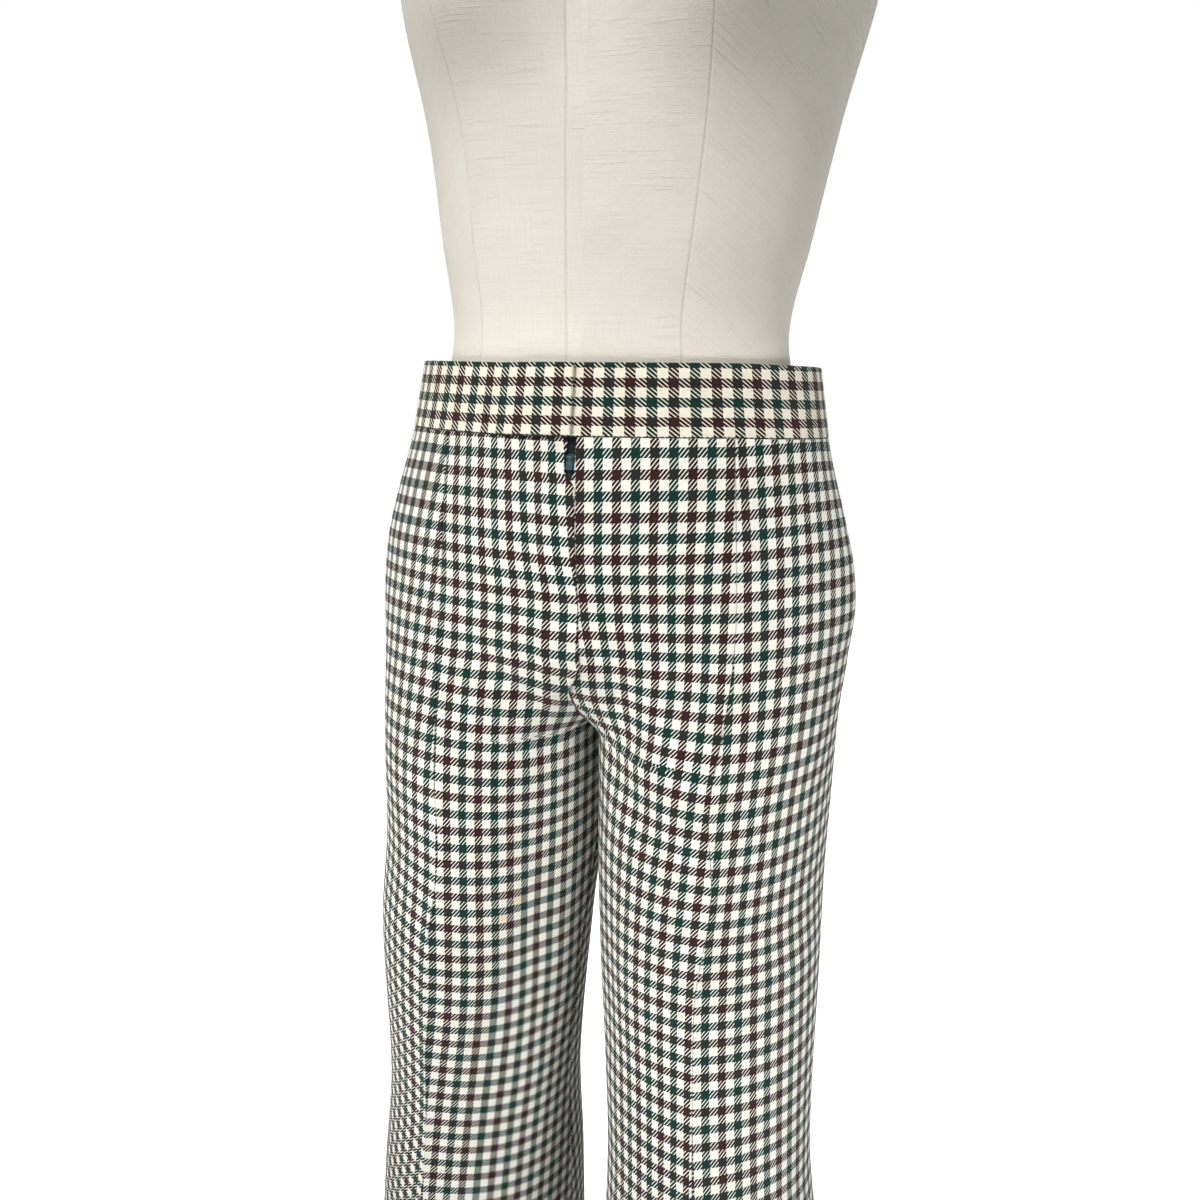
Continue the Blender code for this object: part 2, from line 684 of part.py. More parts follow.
def add_disc(name, radius, low, high, middle, bevel, material, segments=48):
    """An upright round piece with softened edges."""
    bpy.ops.mesh.primitive_cylinder_add(
        vertices=segments, radius=radius, depth=high - low, location=(middle, 0, (low + high) / 2)
    )
    disc = bpy.context.active_object
    disc.name = name
    disc.data.name = name
    for collection in disc.users_collection:
        collection.objects.unlink(disc)
    model.objects.link(disc)
    disc.data.materials.append(material)
    if bevel:
        edge = disc.modifiers.new("softened_edge", "BEVEL")
        edge.width = bevel
        edge.segments = 2
        edge.limit_method = "ANGLE"
    disc.data.shade_smooth()
    disc.data.set_sharp_from_angle(angle=math.radians(SHARP_ANGLE))
    return disc


def make_material(name, colour, roughness, metallic=0.0):
    """A plain finish for one kind of piece."""
    material = bpy.data.materials.new(name)
    material.use_nodes = True
    shader = material.node_tree.nodes["Principled BSDF"]
    shader.inputs["Base Color"].default_value = (*colour, 1.0)
    shader.inputs["Roughness"].default_value = roughness
    shader.inputs["Metallic"].default_value = metallic
    material.diffuse_color = (*colour, 1.0)
    return material


def make_collection(name):
    """A collection in the scene."""
    collection = bpy.data.collections.new(name)
    bpy.context.scene.collection.children.link(collection)
    return collection


for old in list(bpy.data.objects):
    bpy.data.objects.remove(old)
model = make_collection("trousers_on_dress_form")
cutters = make_collection("cutters")
wool = make_material("checked_wool", (0.42, 0.38, 0.33), 0.85)
band_wool = make_material("waistband_wool", (0.44, 0.40, 0.33), 0.85)
tape_cloth = make_material("zip_tape", (0.03, 0.06, 0.055), 0.80)
zip_metal = make_material("zip_metal", (0.09, 0.16, 0.16), 0.45, 0.6)
linen = make_material("form_linen", (0.72, 0.67, 0.59), 0.90)
stand_paint = make_material("stand_paint", (0.62, 0.61, 0.58), 0.40)

for leg_side in (+1, -1):
    for cut_panel in PANELS:
        add_panel(leg_side, cut_panel, wool)
add_waistband(band_wool)
add_zip_tape(tape_cloth)
zip_frame = slider_frame()
tab_pin_y = add_slider(zip_frame, zip_metal)
add_pull_tab(zip_frame, tab_pin_y, zip_metal)

add_form(linen)
neck_top = FORM_NECK + SEAM_GAP
add_disc("form_neck_cap", CAP_RADIUS, neck_top, neck_top + CAP_HEIGHT, 0.0, CAP_BEVEL, stand_paint)
collar_top = FORM_BOTTOM - SEAM_GAP
collar_low = collar_top - COLLAR_HEIGHT
add_disc("pole_collar", COLLAR_RADIUS, collar_low, collar_top, POLE_X, COLLAR_BEVEL, stand_paint)
pole_low, pole_top = BASE_HEIGHT + SEAM_GAP, collar_low - SEAM_GAP
add_disc("stand_pole", POLE_RADIUS, pole_low, pole_top, POLE_X, 0.0, stand_paint, 24)
add_disc("stand_base", BASE_RADIUS, 0.0, BASE_HEIGHT, 0.0, BASE_BEVEL, stand_paint, 64)
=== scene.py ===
"""Looks of checked wool wide-leg trousers on a linen dress form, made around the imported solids.

Metres, +Z up. The front faces -Y and the wearer's left side is at +X. Side +1 is the wearer's left.
"""

import math
from collections import namedtuple

import bpy
import numpy as np
from mathutils import Matrix, Vector


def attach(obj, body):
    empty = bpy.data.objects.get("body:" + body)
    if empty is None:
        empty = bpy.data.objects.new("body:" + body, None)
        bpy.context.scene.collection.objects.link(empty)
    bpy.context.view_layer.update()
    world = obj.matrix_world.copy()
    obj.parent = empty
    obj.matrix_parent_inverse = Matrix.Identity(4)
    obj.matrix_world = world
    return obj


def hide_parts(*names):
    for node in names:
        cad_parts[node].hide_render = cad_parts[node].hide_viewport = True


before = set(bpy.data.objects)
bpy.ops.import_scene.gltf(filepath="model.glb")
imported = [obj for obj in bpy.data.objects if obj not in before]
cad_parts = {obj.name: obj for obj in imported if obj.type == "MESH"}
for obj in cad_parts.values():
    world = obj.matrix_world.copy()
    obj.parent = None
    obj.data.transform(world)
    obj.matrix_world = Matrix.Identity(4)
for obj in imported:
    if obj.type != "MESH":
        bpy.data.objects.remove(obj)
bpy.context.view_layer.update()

BODY_OF_CLOTH = "trousers_and_form"

# Cloth and gaps
WALL = 0.0016
BAND_WALL = 0.0024
SEAM_GAP = 0.0003

# Main heights of the trousers
WAIST_TOP = 1.070
BAND_HEIGHT = 0.045
CROTCH = 0.815
HEM = 0.035
PANEL_TOP = WAIST_TOP - BAND_HEIGHT - SEAM_GAP

# The waist sits lower at the back: its slope, where it is level, and its reach
WAIST_TILT = 0.036
TILT_FROM = -0.10
TILT_LOW = 0.82
TILT_LOW_REACH = 0.18
TILT_HIGH = 1.30
TILT_HIGH_REACH = 0.20
SIDE_TILT = 0.030
SIDE_TILT_MOST = 0.0030

# The body part of the trousers, half of it, at falling heights
BodyRow = namedtuple("BodyRow", "height half_width front back")
BODY = (
    BodyRow(1.070, 0.1378, 0.0880, 0.0980),
    BodyRow(1.025, 0.1462, 0.0930, 0.1050),
    BodyRow(0.980, 0.1580, 0.0990, 0.1160),
    BodyRow(0.940, 0.1665, 0.1010, 0.1230),
    BodyRow(0.900, 0.1695, 0.1010, 0.1250),
    BodyRow(0.860, 0.1690, 0.0990, 0.1220),
    BodyRow(0.815, 0.1680, 0.0970, 0.1170),
    BodyRow(0.740, 0.1670, 0.0940, 0.1100),
)
BODY_POWER = 2.05

# One leg: where its middle is, its half width and depth, and how proud its
# pressed crease stands
LegRow = namedtuple("LegRow", "height middle half_width half_depth crease")
LEG = (
    LegRow(0.910, 0.0850, 0.0850, 0.1080, 0.0005),
    LegRow(0.815, 0.0845, 0.0845, 0.1030, 0.0020),
    LegRow(0.740, 0.0845, 0.0838, 0.0965, 0.0040),
    LegRow(0.640, 0.0900, 0.0830, 0.0920, 0.0070),
    LegRow(0.490, 0.0940, 0.0785, 0.0880, 0.0095),
    LegRow(0.380, 0.0970, 0.0850, 0.0960, 0.0100),
    LegRow(0.200, 0.1000, 0.0920, 0.1040, 0.0100),
    LegRow(0.035, 0.1010, 0.0940, 0.1070, 0.0100),
)
CREASE_REACH = 48.0

# How each side hangs away from its mirrored place, how far its toes turn out,
# and the angle from the centre front where the body has its pressed seam
HangRow = namedtuple("HangRow", "height across back turn seam")
HANG = {
    +1: (
        HangRow(1.025, 0.0000, 0.0000, 4.0, 41.5),
        HangRow(0.930, -0.0020, 0.0000, 4.0, 39.5),
        HangRow(0.815, -0.0020, 0.0020, 5.0, 42.0),
        HangRow(0.730, -0.0030, 0.0050, 12.0, 39.0),
        HangRow(0.640, -0.0060, 0.0080, 6.0, 39.0),
        HangRow(0.490, -0.0010, -0.0030, 5.5, 39.0),
        HangRow(0.340, 0.0070, -0.0150, 6.0, 39.0),
        HangRow(0.035, 0.0070, -0.0200, 6.0, 39.0),
    ),
    -1: (
        HangRow(1.025, 0.0000, 0.0000, 4.0, 39.0),
        HangRow(0.930, -0.0020, 0.0000, 4.0, 32.5),
        HangRow(0.815, -0.0020, 0.0020, 5.0, 33.5),
        HangRow(0.730, -0.0030, 0.0050, 3.0, 37.0),
        HangRow(0.640, -0.0070, 0.0090, 5.0, 39.0),
        HangRow(0.490, -0.0120, 0.0250, 6.0, 39.0),
        HangRow(0.340, -0.0160, 0.0400, 6.0, 39.0),
        HangRow(0.035, -0.0160, 0.0420, 6.0, 39.0),
    ),
}

# Three panels a leg. A place round half the trousers is an angle: 0 at the centre
# front and inseam, CREASE at the pressed seam of the front, SIDE at the side seam
# and 180 at the centre back and inseam again. The columns are those of the fine cloth.
CREASE = 41.0
SIDE = 93.0
Panel = namedtuple("Panel", "name start end columns")
PANELS = (
    Panel("front_centre", 0.0, CREASE, 34),
    Panel("front_side", CREASE, SIDE, 36),
    Panel("back", SIDE, 180.0, 54),
)
GIRTH_RADIUS = 0.14
MIN_SPREAD = 0.0008
RISE_FRONT = 0.905
RISE_BACK = 0.945
SPLIT_TOP = 0.935
SPLIT_END = 0.725
BACK_BLEND = 118.0

# Soft folds: from an angle and height to another, with a width and how far
# they stand out (or in, below zero). The last ones are too fine for the solids.
Fold = namedtuple("Fold", "side angle_1 height_1 angle_2 height_2 width depth")
FOLDS = (
    Fold(-1, 31.0, 0.880, 5.0, 0.822, 0.013, -0.0035),
    Fold(-1, 25.0, 0.845, 8.0, 0.790, 0.014, -0.0030),
    Fold(-1, 29.0, 0.862, 9.0, 0.808, 0.011, 0.0025),
    Fold(+1, 11.0, 0.880, 19.0, 0.835, 0.014, -0.0035),
    Fold(+1, 18.0, 0.870, 35.0, 0.800, 0.017, 0.0045),
    Fold(+1, 14.0, 0.820, 29.0, 0.760, 0.014, -0.0028),
    Fold(-1, 12.0, 0.720, 14.0, 0.560, 0.026, -0.0050),
    Fold(+1, 10.0, 0.700, 13.0, 0.580, 0.022, -0.0030),
    Fold(+1, 90.0, 0.960, 93.0, 0.880, 0.030, 0.0055),
    Fold(-1, 84.0, 0.955, 88.0, 0.900, 0.030, 0.0015),
    Fold(+1, 163.0, 0.860, 176.0, 0.800, 0.016, -0.0040),
    Fold(-1, 161.0, 0.868, 175.0, 0.805, 0.017, -0.0035),
    Fold(+1, 154.0, 0.835, 172.0, 0.775, 0.015, 0.0030),
    Fold(-1, 151.0, 0.840, 171.0, 0.770, 0.016, 0.0034),
    Fold(+1, 141.0, 0.560, 155.0, 0.480, 0.024, -0.0035),
    Fold(-1, 136.0, 0.600, 150.0, 0.500, 0.027, -0.0032),
    Fold(-1, 15.5, 1.024, 11.5, 1.012, 0.0030, -0.0011),
    Fold(-1, 14.0, 1.022, 10.0, 1.008, 0.0030, 0.0009),
    Fold(-1, 22.0, 0.872, 10.0, 0.838, 0.0060, -0.0010),
    Fold(+1, 12.0, 0.858, 21.0, 0.812, 0.0060, -0.0010),
)
FOLD_ENDS = 0.55
SMOOTH_TO = 0.008
SMOOTH_EASE = 0.022

# Fly: the right front laps over the left one, and both draw back at the top
FLY_END = 0.842
FLY_RAMP = 0.012
FLY_LAP = 0.0050
FLY_LAP_MORE = 0.0060
FLY_LAP_FROM = 1.000
FLY_LAP_OVER = 0.100
FLY_FLAT = 0.010
FLY_SLOPE = 0.014
FLY_NOTCH_END = 0.992
FLY_NOTCH_RAMP = 0.012
FLY_NOTCH = 0.0024
FLY_BACK = 0.0024

# The edge of the fly's facing shows through the right front
FACING_EDGE = 0.0125
FACING_WIDTH = 0.0016
FACING_DEPTH = 0.0006
FACING_END = 0.872

# Waistband
BAND_LAP = 0.024
BAND_LIFT = 0.0020
BAND_RAMP = 0.045
BAND_PROUD = 0.0006
BAND_COLUMNS = 320
BAND_ROWS = 22
BAND_ROLL = 0.0011

# Zip
TAPE_WALL = 0.0010
TAPE_HALF_WIDTH = 0.0120
TAPE_COLUMNS = 18
TAPE_ROWS = 70
TAPE_LOW = 0.905
TAPE_UNDER_BAND = 0.003
TEETH_PITCH = 0.00115
TEETH_BEHIND = 0.0021
TEETH_ASIDE = 0.0011
TEETH_LOW = 0.908
TEETH_HIGH = 1.0045
TOOTH_SIZE = (0.0030, 0.0009, 0.00062)
TOOTH_BEVEL = 0.00022

# The panels' rows, as in the solids but finer
RowStep = namedtuple("RowStep", "height rows curved")
ROW_STEPS = (
    RowStep(0.995, 14, False),
    RowStep(RISE_FRONT, 30, False),
    RowStep(CROTCH, 44, True),
    RowStep(0.740, 24, False),
    RowStep(0.440, 66, False),
    RowStep(HEM, 62, False),
)

# Grid lines beside an edge, by their distance from it
EDGE_MARKS = np.array((0.0, 0.0003, 0.0007, 0.0012, 0.0019, 0.0030, 0.0046))
SEAM_ROLL = 0.0013
SEAM_SINK = 0.0009
FOLD_ROLL = 0.0015
FOLD_SINK = 0.0012
HEM_ROLL = 0.0016
HEM_SINK = 0.0008
HEM_DEPTH = 0.040
HEM_RAMP = 0.002
HEM_MORE = 0.5

# Down the leg, the front's pressed seam stands a little proud
PRESSED_RISE = 0.0020
PRESSED_SPREAD = 0.0035
PRESSED_TOP = 0.82
PRESSED_FADE = 0.16

# Edges that turn more than this many degrees stay sharp
SHARP = 50.0

# Back dart: a sewn line from the waistband down, where it lies across the panel
DART_SHARE = 0.52
DART_END = 0.905
DART_WIDTH = 0.0011
DART_DEPTH = 0.0008
DART_RAMP = 0.02

# The check: one coloured and one cream stripe, across and along the grain
CHECK_ACROSS = 0.0117
CHECK_ALONG = 0.0133
STRIPE_SHARE = 0.49
STRIPE_SOFT = 0.007
TWILL_PITCH = 0.0034
TWILL_RISE = 1.25
TWILL_DARK = 0.36
TWILL_SOFT = 0.09

# Where the check lies: how far a burgundy stripe's middle is from a panel's first edge
# at one height, and below the top of the pressed seam
PHASE_HEIGHT = 0.985
ACROSS = {
    ("front_centre", +1): 0.0089,
    ("front_centre", -1): 0.0032,
    ("front_side", +1): 0.0058,
    ("front_side", -1): 0.0198,
    ("back", +1): 0.0040,
    ("back", -1): 0.0090,
}
ALONG = {+1: 0.0218, -1: 0.0265}

# How the check hangs on each side: how far its rows have crept up at the pressed seam,
# and for the centre and the side panel the slant of its columns and of its rows, in
# degrees, and how much the cloth closes up across
HangOfCheck = namedtuple(
    "HangOfCheck", "height creep centre_slant centre_fall centre_ease side_slant side_fall side_ease"
)
CHECK_HANG = {
    +1: (
        HangOfCheck(1.025, 0.0000, -3.5, 3.5, 1.00, -1.0, -1.0, 1.03),
        HangOfCheck(0.955, 0.0014, -6.5, 3.0, 1.02, 1.0, -2.5, 1.05),
        HangOfCheck(0.915, 0.0026, -7.5, 4.5, 1.07, 1.5, -3.0, 1.05),
        HangOfCheck(0.875, 0.0038, -7.0, 6.5, 1.13, 0.0, -4.0, 1.07),
        HangOfCheck(0.835, 0.0056, -4.5, 7.0, 1.11, -2.0, -4.5, 1.10),
        HangOfCheck(0.785, 0.0082, -3.0, 3.0, 1.09, -4.0, -6.5, 1.16),
        HangOfCheck(0.730, 0.0104, -5.0, -2.5, 1.05, 0.0, -5.5, 1.16),
        HangOfCheck(0.650, 0.0112, -1.5, -7.0, 1.04, 2.5, -2.0, 1.00),
        HangOfCheck(0.550, 0.0130, 2.5, -4.5, 1.10, 0.5, 2.0, 0.98),
        HangOfCheck(0.035, 0.0132, 0.0, 0.0, 1.00, 0.0, 0.0, 1.00),
    ),
    -1: (
        HangOfCheck(1.025, 0.0000, 11.0, -6.0, 1.12, 4.0, -9.0, 0.98),
        HangOfCheck(0.955, 0.0035, 8.5, -5.5, 1.08, 1.0, -9.0, 0.98),
        HangOfCheck(0.915, 0.0075, 5.0, -6.0, 1.02, 0.0, -8.0, 1.00),
        HangOfCheck(0.875, 0.0115, 2.5, -4.5, 1.03, 3.0, -9.0, 1.00),
        HangOfCheck(0.835, 0.0155, 1.0, 1.0, 1.05, 5.0, -9.0, 0.98),
        HangOfCheck(0.785, 0.0180, -2.0, 3.0, 1.05, 4.0, -6.0, 1.00),
        HangOfCheck(0.730, 0.0180, 0.0, 0.0, 1.05, 3.0, 0.0, 1.05),
        HangOfCheck(0.650, 0.0172, 1.5, 1.5, 1.02, 0.0, 4.0, 1.00),
        HangOfCheck(0.550, 0.0175, -1.5, 2.0, 1.00, -3.0, 3.0, 1.00),
        HangOfCheck(0.035, 0.0180, 0.0, 0.0, 1.00, 0.0, 0.0, 1.00),
    ),
}
BAND_PHASE_ACROSS = 0.0107
BAND_PHASE_DOWN = 0.0122

# Grain: straight along this stretch of each panel's pressed line
GRAIN_HIGH = 0.800
GRAIN_LOW = 0.480
BACK_CREASE = 135.8
CUT_COLUMNS = 14
CUT_ROUNDS = 60
CUT_ROW_STEP = 4
CUT_LEAST_WEIGHT = 0.02
CUT_LEAST_AREA = 1e-12
LAY_POINTS = 241

# Dress form: its own sections, kept inside the cloth where they meet it, and how far
# its middle stands aside
FormRow = namedtuple("FormRow", "height half_width front back aside")
FORM = (
    FormRow(0.870, 0.1740, 0.0880, 0.1040, 0.0000),
    FormRow(0.930, 0.1740, 0.0930, 0.1080, 0.0000),
    FormRow(0.965, 0.1580, 0.0920, 0.1040, 0.0000),
    FormRow(1.010, 0.1370, 0.0850, 0.0930, 0.0000),
    FormRow(1.050, 0.1235, 0.0790, 0.0840, 0.0000),
    FormRow(1.090, 0.1160, 0.0790, 0.0790, 0.0000),
    FormRow(1.150, 0.1255, 0.0860, 0.0840, 0.0015),
    FormRow(1.220, 0.1365, 0.0920, 0.0950, 0.0040),
    FormRow(1.300, 0.1530, 0.0930, 0.1060, 0.0060),
    FormRow(1.370, 0.1620, 0.0860, 0.1080, 0.0040),
    FormRow(1.420, 0.1650, 0.0740, 0.0960, 0.0020),
    FormRow(1.455, 0.1480, 0.0620, 0.0800, 0.0000),
    FormRow(1.480, 0.0980, 0.0540, 0.0660, 0.0000),
    FormRow(1.495, 0.0640, 0.0500, 0.0560, 0.0000),
    FormRow(1.515, 0.0540, 0.0480, 0.0500, 0.0000),
    FormRow(1.560, 0.0500, 0.0470, 0.0480, 0.0000),
)
FORM_BOTTOM = 0.870
FORM_CURVE = 0.020
FORM_CURVE_IN = 0.10
FORM_CURVE_ROWS = 8
FORM_NECK = 1.560
FORM_CLEAR = 0.0006
FORM_ROWS_LOW = 40
FORM_ROWS_HIGH = 150
BUST_HEIGHT = 1.293
BUST_AWAY = 0.085
BUST_REACH = 0.056
BUST_DEPTH = 0.041

# The form's sewn lines, by their angle all round from the centre front, the width of
# their groove and its depth, and the slant of the linen on each piece between them
FORM_SEAMS = (31.0, 90.0, 138.0, 180.0, 222.0, 270.0, 321.0, 355.5)
FORM_SLANTS = (34.0, -20.0, 0.0, 0.0, 20.0, -30.0, 0.0, 0.0)
FORM_SEAM_MARKS = (0.0, 0.20, 0.45, 0.80, 1.30, 2.10)
FORM_SEAM_WIDTH = 0.00045
FORM_SEAM_DEPTH = 0.0004
FORM_STEP = 2.4

# Camera, fitted to the photo
CAMERA_TURN = 17.24
CAMERA_PITCH = 13.4
CAMERA_ROLL = 1.5
CAMERA_AWAY = 0.7705
CAMERA_ASIDE = -0.0075
CAMERA_HEIGHT = 1.0837
CAMERA_LENS = 32.85
CAMERA_SENSOR = 36.0

# Wool: how far its stripes and twill lines stray, its stains, its nap, the painted shade in its twill's
# valleys and its relief
STRIPE_STRAY = 0.0007
TWILL_STRAY = 0.0003
AGED = (0.99, 0.965, 0.90)
STAIN_SHARE = 0.5
STAIN_RAGGED = 1.2
WEFT_COVERED = 0.12
NAP_LEVEL = 0.88
NAP_RANGE = 0.20
# Painted shade in the twill's valleys: how wide it reaches and how dark it is
VALLEY_SHADE_WIDTH = 0.06
VALLEY_PAINTED_SHADE = 0.12
WOOL_RELIEF = 0.00018

# Linen, and the zip tape's herringbone
LINEN_PITCH = 0.00085
LINEN_WAVER = 0.002
LINEN_RELIEF = 0.00036
TAPE_RIB_PITCH = 0.0011
TAPE_RIB_SLANT = 0.7
TAPE_RELIEF = 0.0002

# Stains: their places on the cloth and how far they reach
Stain = namedtuple("Stain", "x y z radius")
STAINS = (
    Stain(-0.0421, -0.0682, 0.688, 0.0085),
    Stain(-0.0519, -0.0733, 0.674, 0.0060),
    Stain(0.1018, -0.0886, 0.665, 0.0070),
    Stain(-0.0092, -0.0938, 1.018, 0.0050),
)

# Stage
STAGE_RADIUS = 30.0
FLOOR_GLOW = 0.87
WORLD_LIGHT = 0.14

# Lights: a soft key in front, fills that reach the legs only, and weak light behind
Light = namedtuple("Light", "name place aim size power spread colour")
ALL_ROUND = 180.0
WARM = (1.0, 0.99, 0.97)
WHITE = (1.0, 1.0, 1.0)
LIGHTS = (
    Light("key", (-0.80, -2.20, 2.90), (0.0, 0.0, 1.00), (0.7, 0.6), 81.0, ALL_ROUND, WARM),
    Light("low_front", (0.35, -2.05, 0.45), (-0.03, 0.0, 0.58), (0.6, 0.5), 0.34, 34.0, WHITE),
    Light("low_right", (1.50, -1.10, 0.50), (0.10, 0.0, 0.68), (0.7, 0.6), 1.4, 44.0, WHITE),
    Light("side_right", (2.10, 0.10, 1.10), (0.10, 0.0, 1.00), (0.8, 1.0), 10.0, ALL_ROUND, WHITE),
    Light("low_left", (-1.50, -0.80, 0.50), (-0.10, 0.0, 0.72), (0.7, 0.6), 1.1, 44.0, WHITE),
    Light("back", (0.1, 2.8, 1.8), (0.0, 0.0, 0.9), (2.2, 1.6), 46.0, ALL_ROUND, WHITE),
)

# Colours, linear
CREAM = (0.860, 0.858, 0.795)
BAND_CREAM = (0.850, 0.815, 0.690)
BURGUNDY = (0.030, 0.008, 0.009)
GREEN = (0.0015, 0.026, 0.021)
LINEN = (0.850, 0.812, 0.725)
LINEN_DARK = (0.470, 0.420, 0.345)
TAPE = (0.0050, 0.0080, 0.0085)
TEAL = (0.019, 0.061, 0.067)
STAIN = (0.80, 0.56, 0.34)
STAND = (0.560, 0.540, 0.500)


# Shape of the cloth

def curve(knots, values, at):
    """Smooth curves through rows of values that stand at rising knots."""
    steps = np.diff(knots)
    slopes = np.diff(values, axis=0) / steps.reshape((-1,) + (1,) * (values.ndim - 1))
    tangents = np.zeros_like(values)
    tangents[0], tangents[-1] = slopes[0], slopes[-1]
    for i in range(1, len(knots) - 1):
        before, after = slopes[i - 1], slopes[i]
        near, far = 2 * steps[i] + steps[i - 1], steps[i] + 2 * steps[i - 1]
        same = before * after > 0
        tangents[i][same] = (near + far) / (near / before[same] + far / after[same])
    at = np.clip(np.asarray(at, float), knots[0], knots[-1])
    i = np.clip(np.searchsorted(knots, at, side="right") - 1, 0, len(knots) - 2)
    spread = at.shape + (1,) * (values.ndim - 1)
    length = steps[i].reshape(spread)
    t = ((at - knots[i]) / steps[i]).reshape(spread)
    return (
        (2 * t**3 - 3 * t**2 + 1) * values[i]
        + (t**3 - 2 * t**2 + t) * length * tangents[i]
        + (3 * t**2 - 2 * t**3) * values[i + 1]
        + (t**3 - t**2) * length * tangents[i + 1]
    )


def through(rows, heights):
    """Smooth curves through the columns of a table whose first column is height."""
    table = np.array(sorted(tuple(row) for row in rows), float)
    return curve(table[:, 0], table[:, 1:], heights)


def ease(x):
    """Smooth step from 0 to 1."""
    x = np.clip(x, 0.0, 1.0)
    return x * x * (3 - 2 * x)


def unit(vectors):
    """The vectors at a length of 1."""
    return vectors / np.linalg.norm(vectors, axis=-1, keepdims=True)


def steps_between(points, axis):
    """Lengths of the steps from point to point along one axis of a grid."""
    return np.linalg.norm(np.diff(points, axis=axis), axis=-1)


def running(steps, axis=0):
    """Running totals that start at 0."""
    return np.insert(np.cumsum(steps, axis), 0, 0.0, axis)


def rounded(half_width, front, back, angle):
    """Point of a rounded section, its angle in degrees from the centre front."""
    sine, cosine = np.sin(np.radians(angle)), np.cos(np.radians(angle))
    power = 2.0 / BODY_POWER
    x = half_width * np.abs(sine) ** power * np.sign(sine)
    y = np.where(cosine > 0, -front, back) * np.abs(cosine) ** power
    return x, y


def body_point(angle, height, seam=CREASE):
    """Half of the trousers' body, as a single ring with no legs."""
    row = through(BODY, height)
    bend = np.minimum(np.abs(angle) / CREASE, np.clip((SIDE - angle) / (SIDE - CREASE), 0, 1))
    angle = angle + np.sign(angle) * (seam - CREASE) * bend
    return rounded(row[..., 0], row[..., 1], row[..., 2], angle)


def leg_point(angle, height, turn):
    """One leg as a tube with a pressed crease at its front and back."""
    row = through(LEG, height)
    middle, half_width, half_depth, crease = (row[..., k] for k in range(4))
    sine, cosine = np.sin(np.radians(angle)), np.cos(np.radians(angle))
    front = np.clip(1 - np.abs(angle) / CREASE_REACH, 0, 1) ** 2
    back = np.clip(1 - np.abs(angle - 180) / CREASE_REACH, 0, 1) ** 2
    x = half_width * sine
    y = -half_depth * cosine + crease * (back - front)
    turn = np.radians(turn)
    return middle + x * np.cos(turn) - y * np.sin(turn), x * np.sin(turn) + y * np.cos(turn)


def leg_angle(angle):
    """The angle round a leg, from its front crease, for a place round the trousers."""
    before = 90.0 * (np.minimum(angle, CREASE) - CREASE) / CREASE
    front = np.clip(angle - CREASE, 0, SIDE - CREASE) * SIDE / (SIDE - CREASE)
    return before + front + np.maximum(angle - SIDE, 0) * (270.0 - SIDE) / (180.0 - SIDE)


def leg_share(angle, height):
    """How far a point follows its leg (1) and not the body (0)."""
    side = ease((SPLIT_TOP - height) / (SPLIT_TOP - SPLIT_END))
    rise = np.where(angle < SIDE, RISE_FRONT, RISE_BACK)
    fall = np.clip((rise - height) / (rise - CROTCH), 0, 1)
    centre = 1 - np.sqrt(np.clip(1 - fall**2, 0, 1))
    front = ease(1 - angle / CREASE)
    back = ease((angle - BACK_BLEND) / (180.0 - BACK_BLEND))
    near = front + back
    return side * (1 - near) + centre * near


def middle_line(height):
    """Where the plane between the legs lies."""
    return (through(HANG[+1], height)[..., 0] + through(HANG[-1], height)[..., 0]) / 2


def fold_lift(side, angle, height):
    """How far the folds lift the surface."""
    lift = np.zeros(np.broadcast(angle, height).shape)
    girth = np.radians(angle) * GIRTH_RADIUS
    for fold in FOLDS:
        if fold.side != side:
            continue
        start = np.array((math.radians(fold.angle_1) * GIRTH_RADIUS, fold.height_1))
        end = np.array((math.radians(fold.angle_2) * GIRTH_RADIUS, fold.height_2))
        length = float(np.hypot(*(end - start)))
        run = (end - start) / length
        across, down = girth - start[0], height - start[1]
        along = (across * run[0] + down * run[1]) / length
        beside = (across * run[1] - down * run[0]) / fold.width
        past = np.maximum(np.maximum(-along, along - 1), 0) * length / fold.width
        middle = FOLD_ENDS + (1 - FOLD_ENDS) * np.sin(np.pi * np.clip(along, 0, 1))
        lift = lift + fold.depth * middle * np.exp(-(beside**2) - past**2)
    return lift


def tilted(points):
    """The waist sits a little lower at the back than at the front."""
    y, z = points[..., 1], points[..., 2]
    share = ease((z - TILT_LOW) / TILT_LOW_REACH) * ease((TILT_HIGH - z) / TILT_HIGH_REACH)
    aside = np.clip(SIDE_TILT * points[..., 0], -SIDE_TILT_MOST / 2, SIDE_TILT_MOST)
    points[..., 2] = z - (WAIST_TILT * (y - TILT_FROM) - aside) * share
    return points


def cloth_raw(side, angle, height):
    """The trousers' surface with no folds; below 0 it goes on past the centre front."""
    angle, height = np.broadcast_arrays(angle, height)
    way = np.where(angle < 0, -side, side)
    angle = np.abs(angle)
    hang = through(HANG[side], height)
    body_x, body_y = body_point(angle, height, hang[..., 3])
    leg_x, leg_y = leg_point(leg_angle(angle), height, hang[..., 2])
    share = leg_share(angle, height)
    x = body_x * (1 - share) + leg_x * share
    y = body_y * (1 - share) + leg_y * share
    middle = middle_line(height)
    # The legs' inner sides stay just apart
    away = np.maximum(side * (side * x + hang[..., 0] - middle), SEAM_GAP / 2)
    return tilted(np.stack((middle + way * away, y + hang[..., 1], height + 0 * x), -1))


def normals(side, angle, height):
    """Outward normals of the surface."""
    turn, rise = 0.3, 0.0015
    low = np.maximum(angle - turn, np.minimum(angle, 0))
    high = np.minimum(angle + turn, 180)
    along = cloth_raw(side, high, height) - cloth_raw(side, low, height)
    up = cloth_raw(side, angle, height + rise) - cloth_raw(side, angle, height - rise)
    return unit(np.cross(along, up) * side)


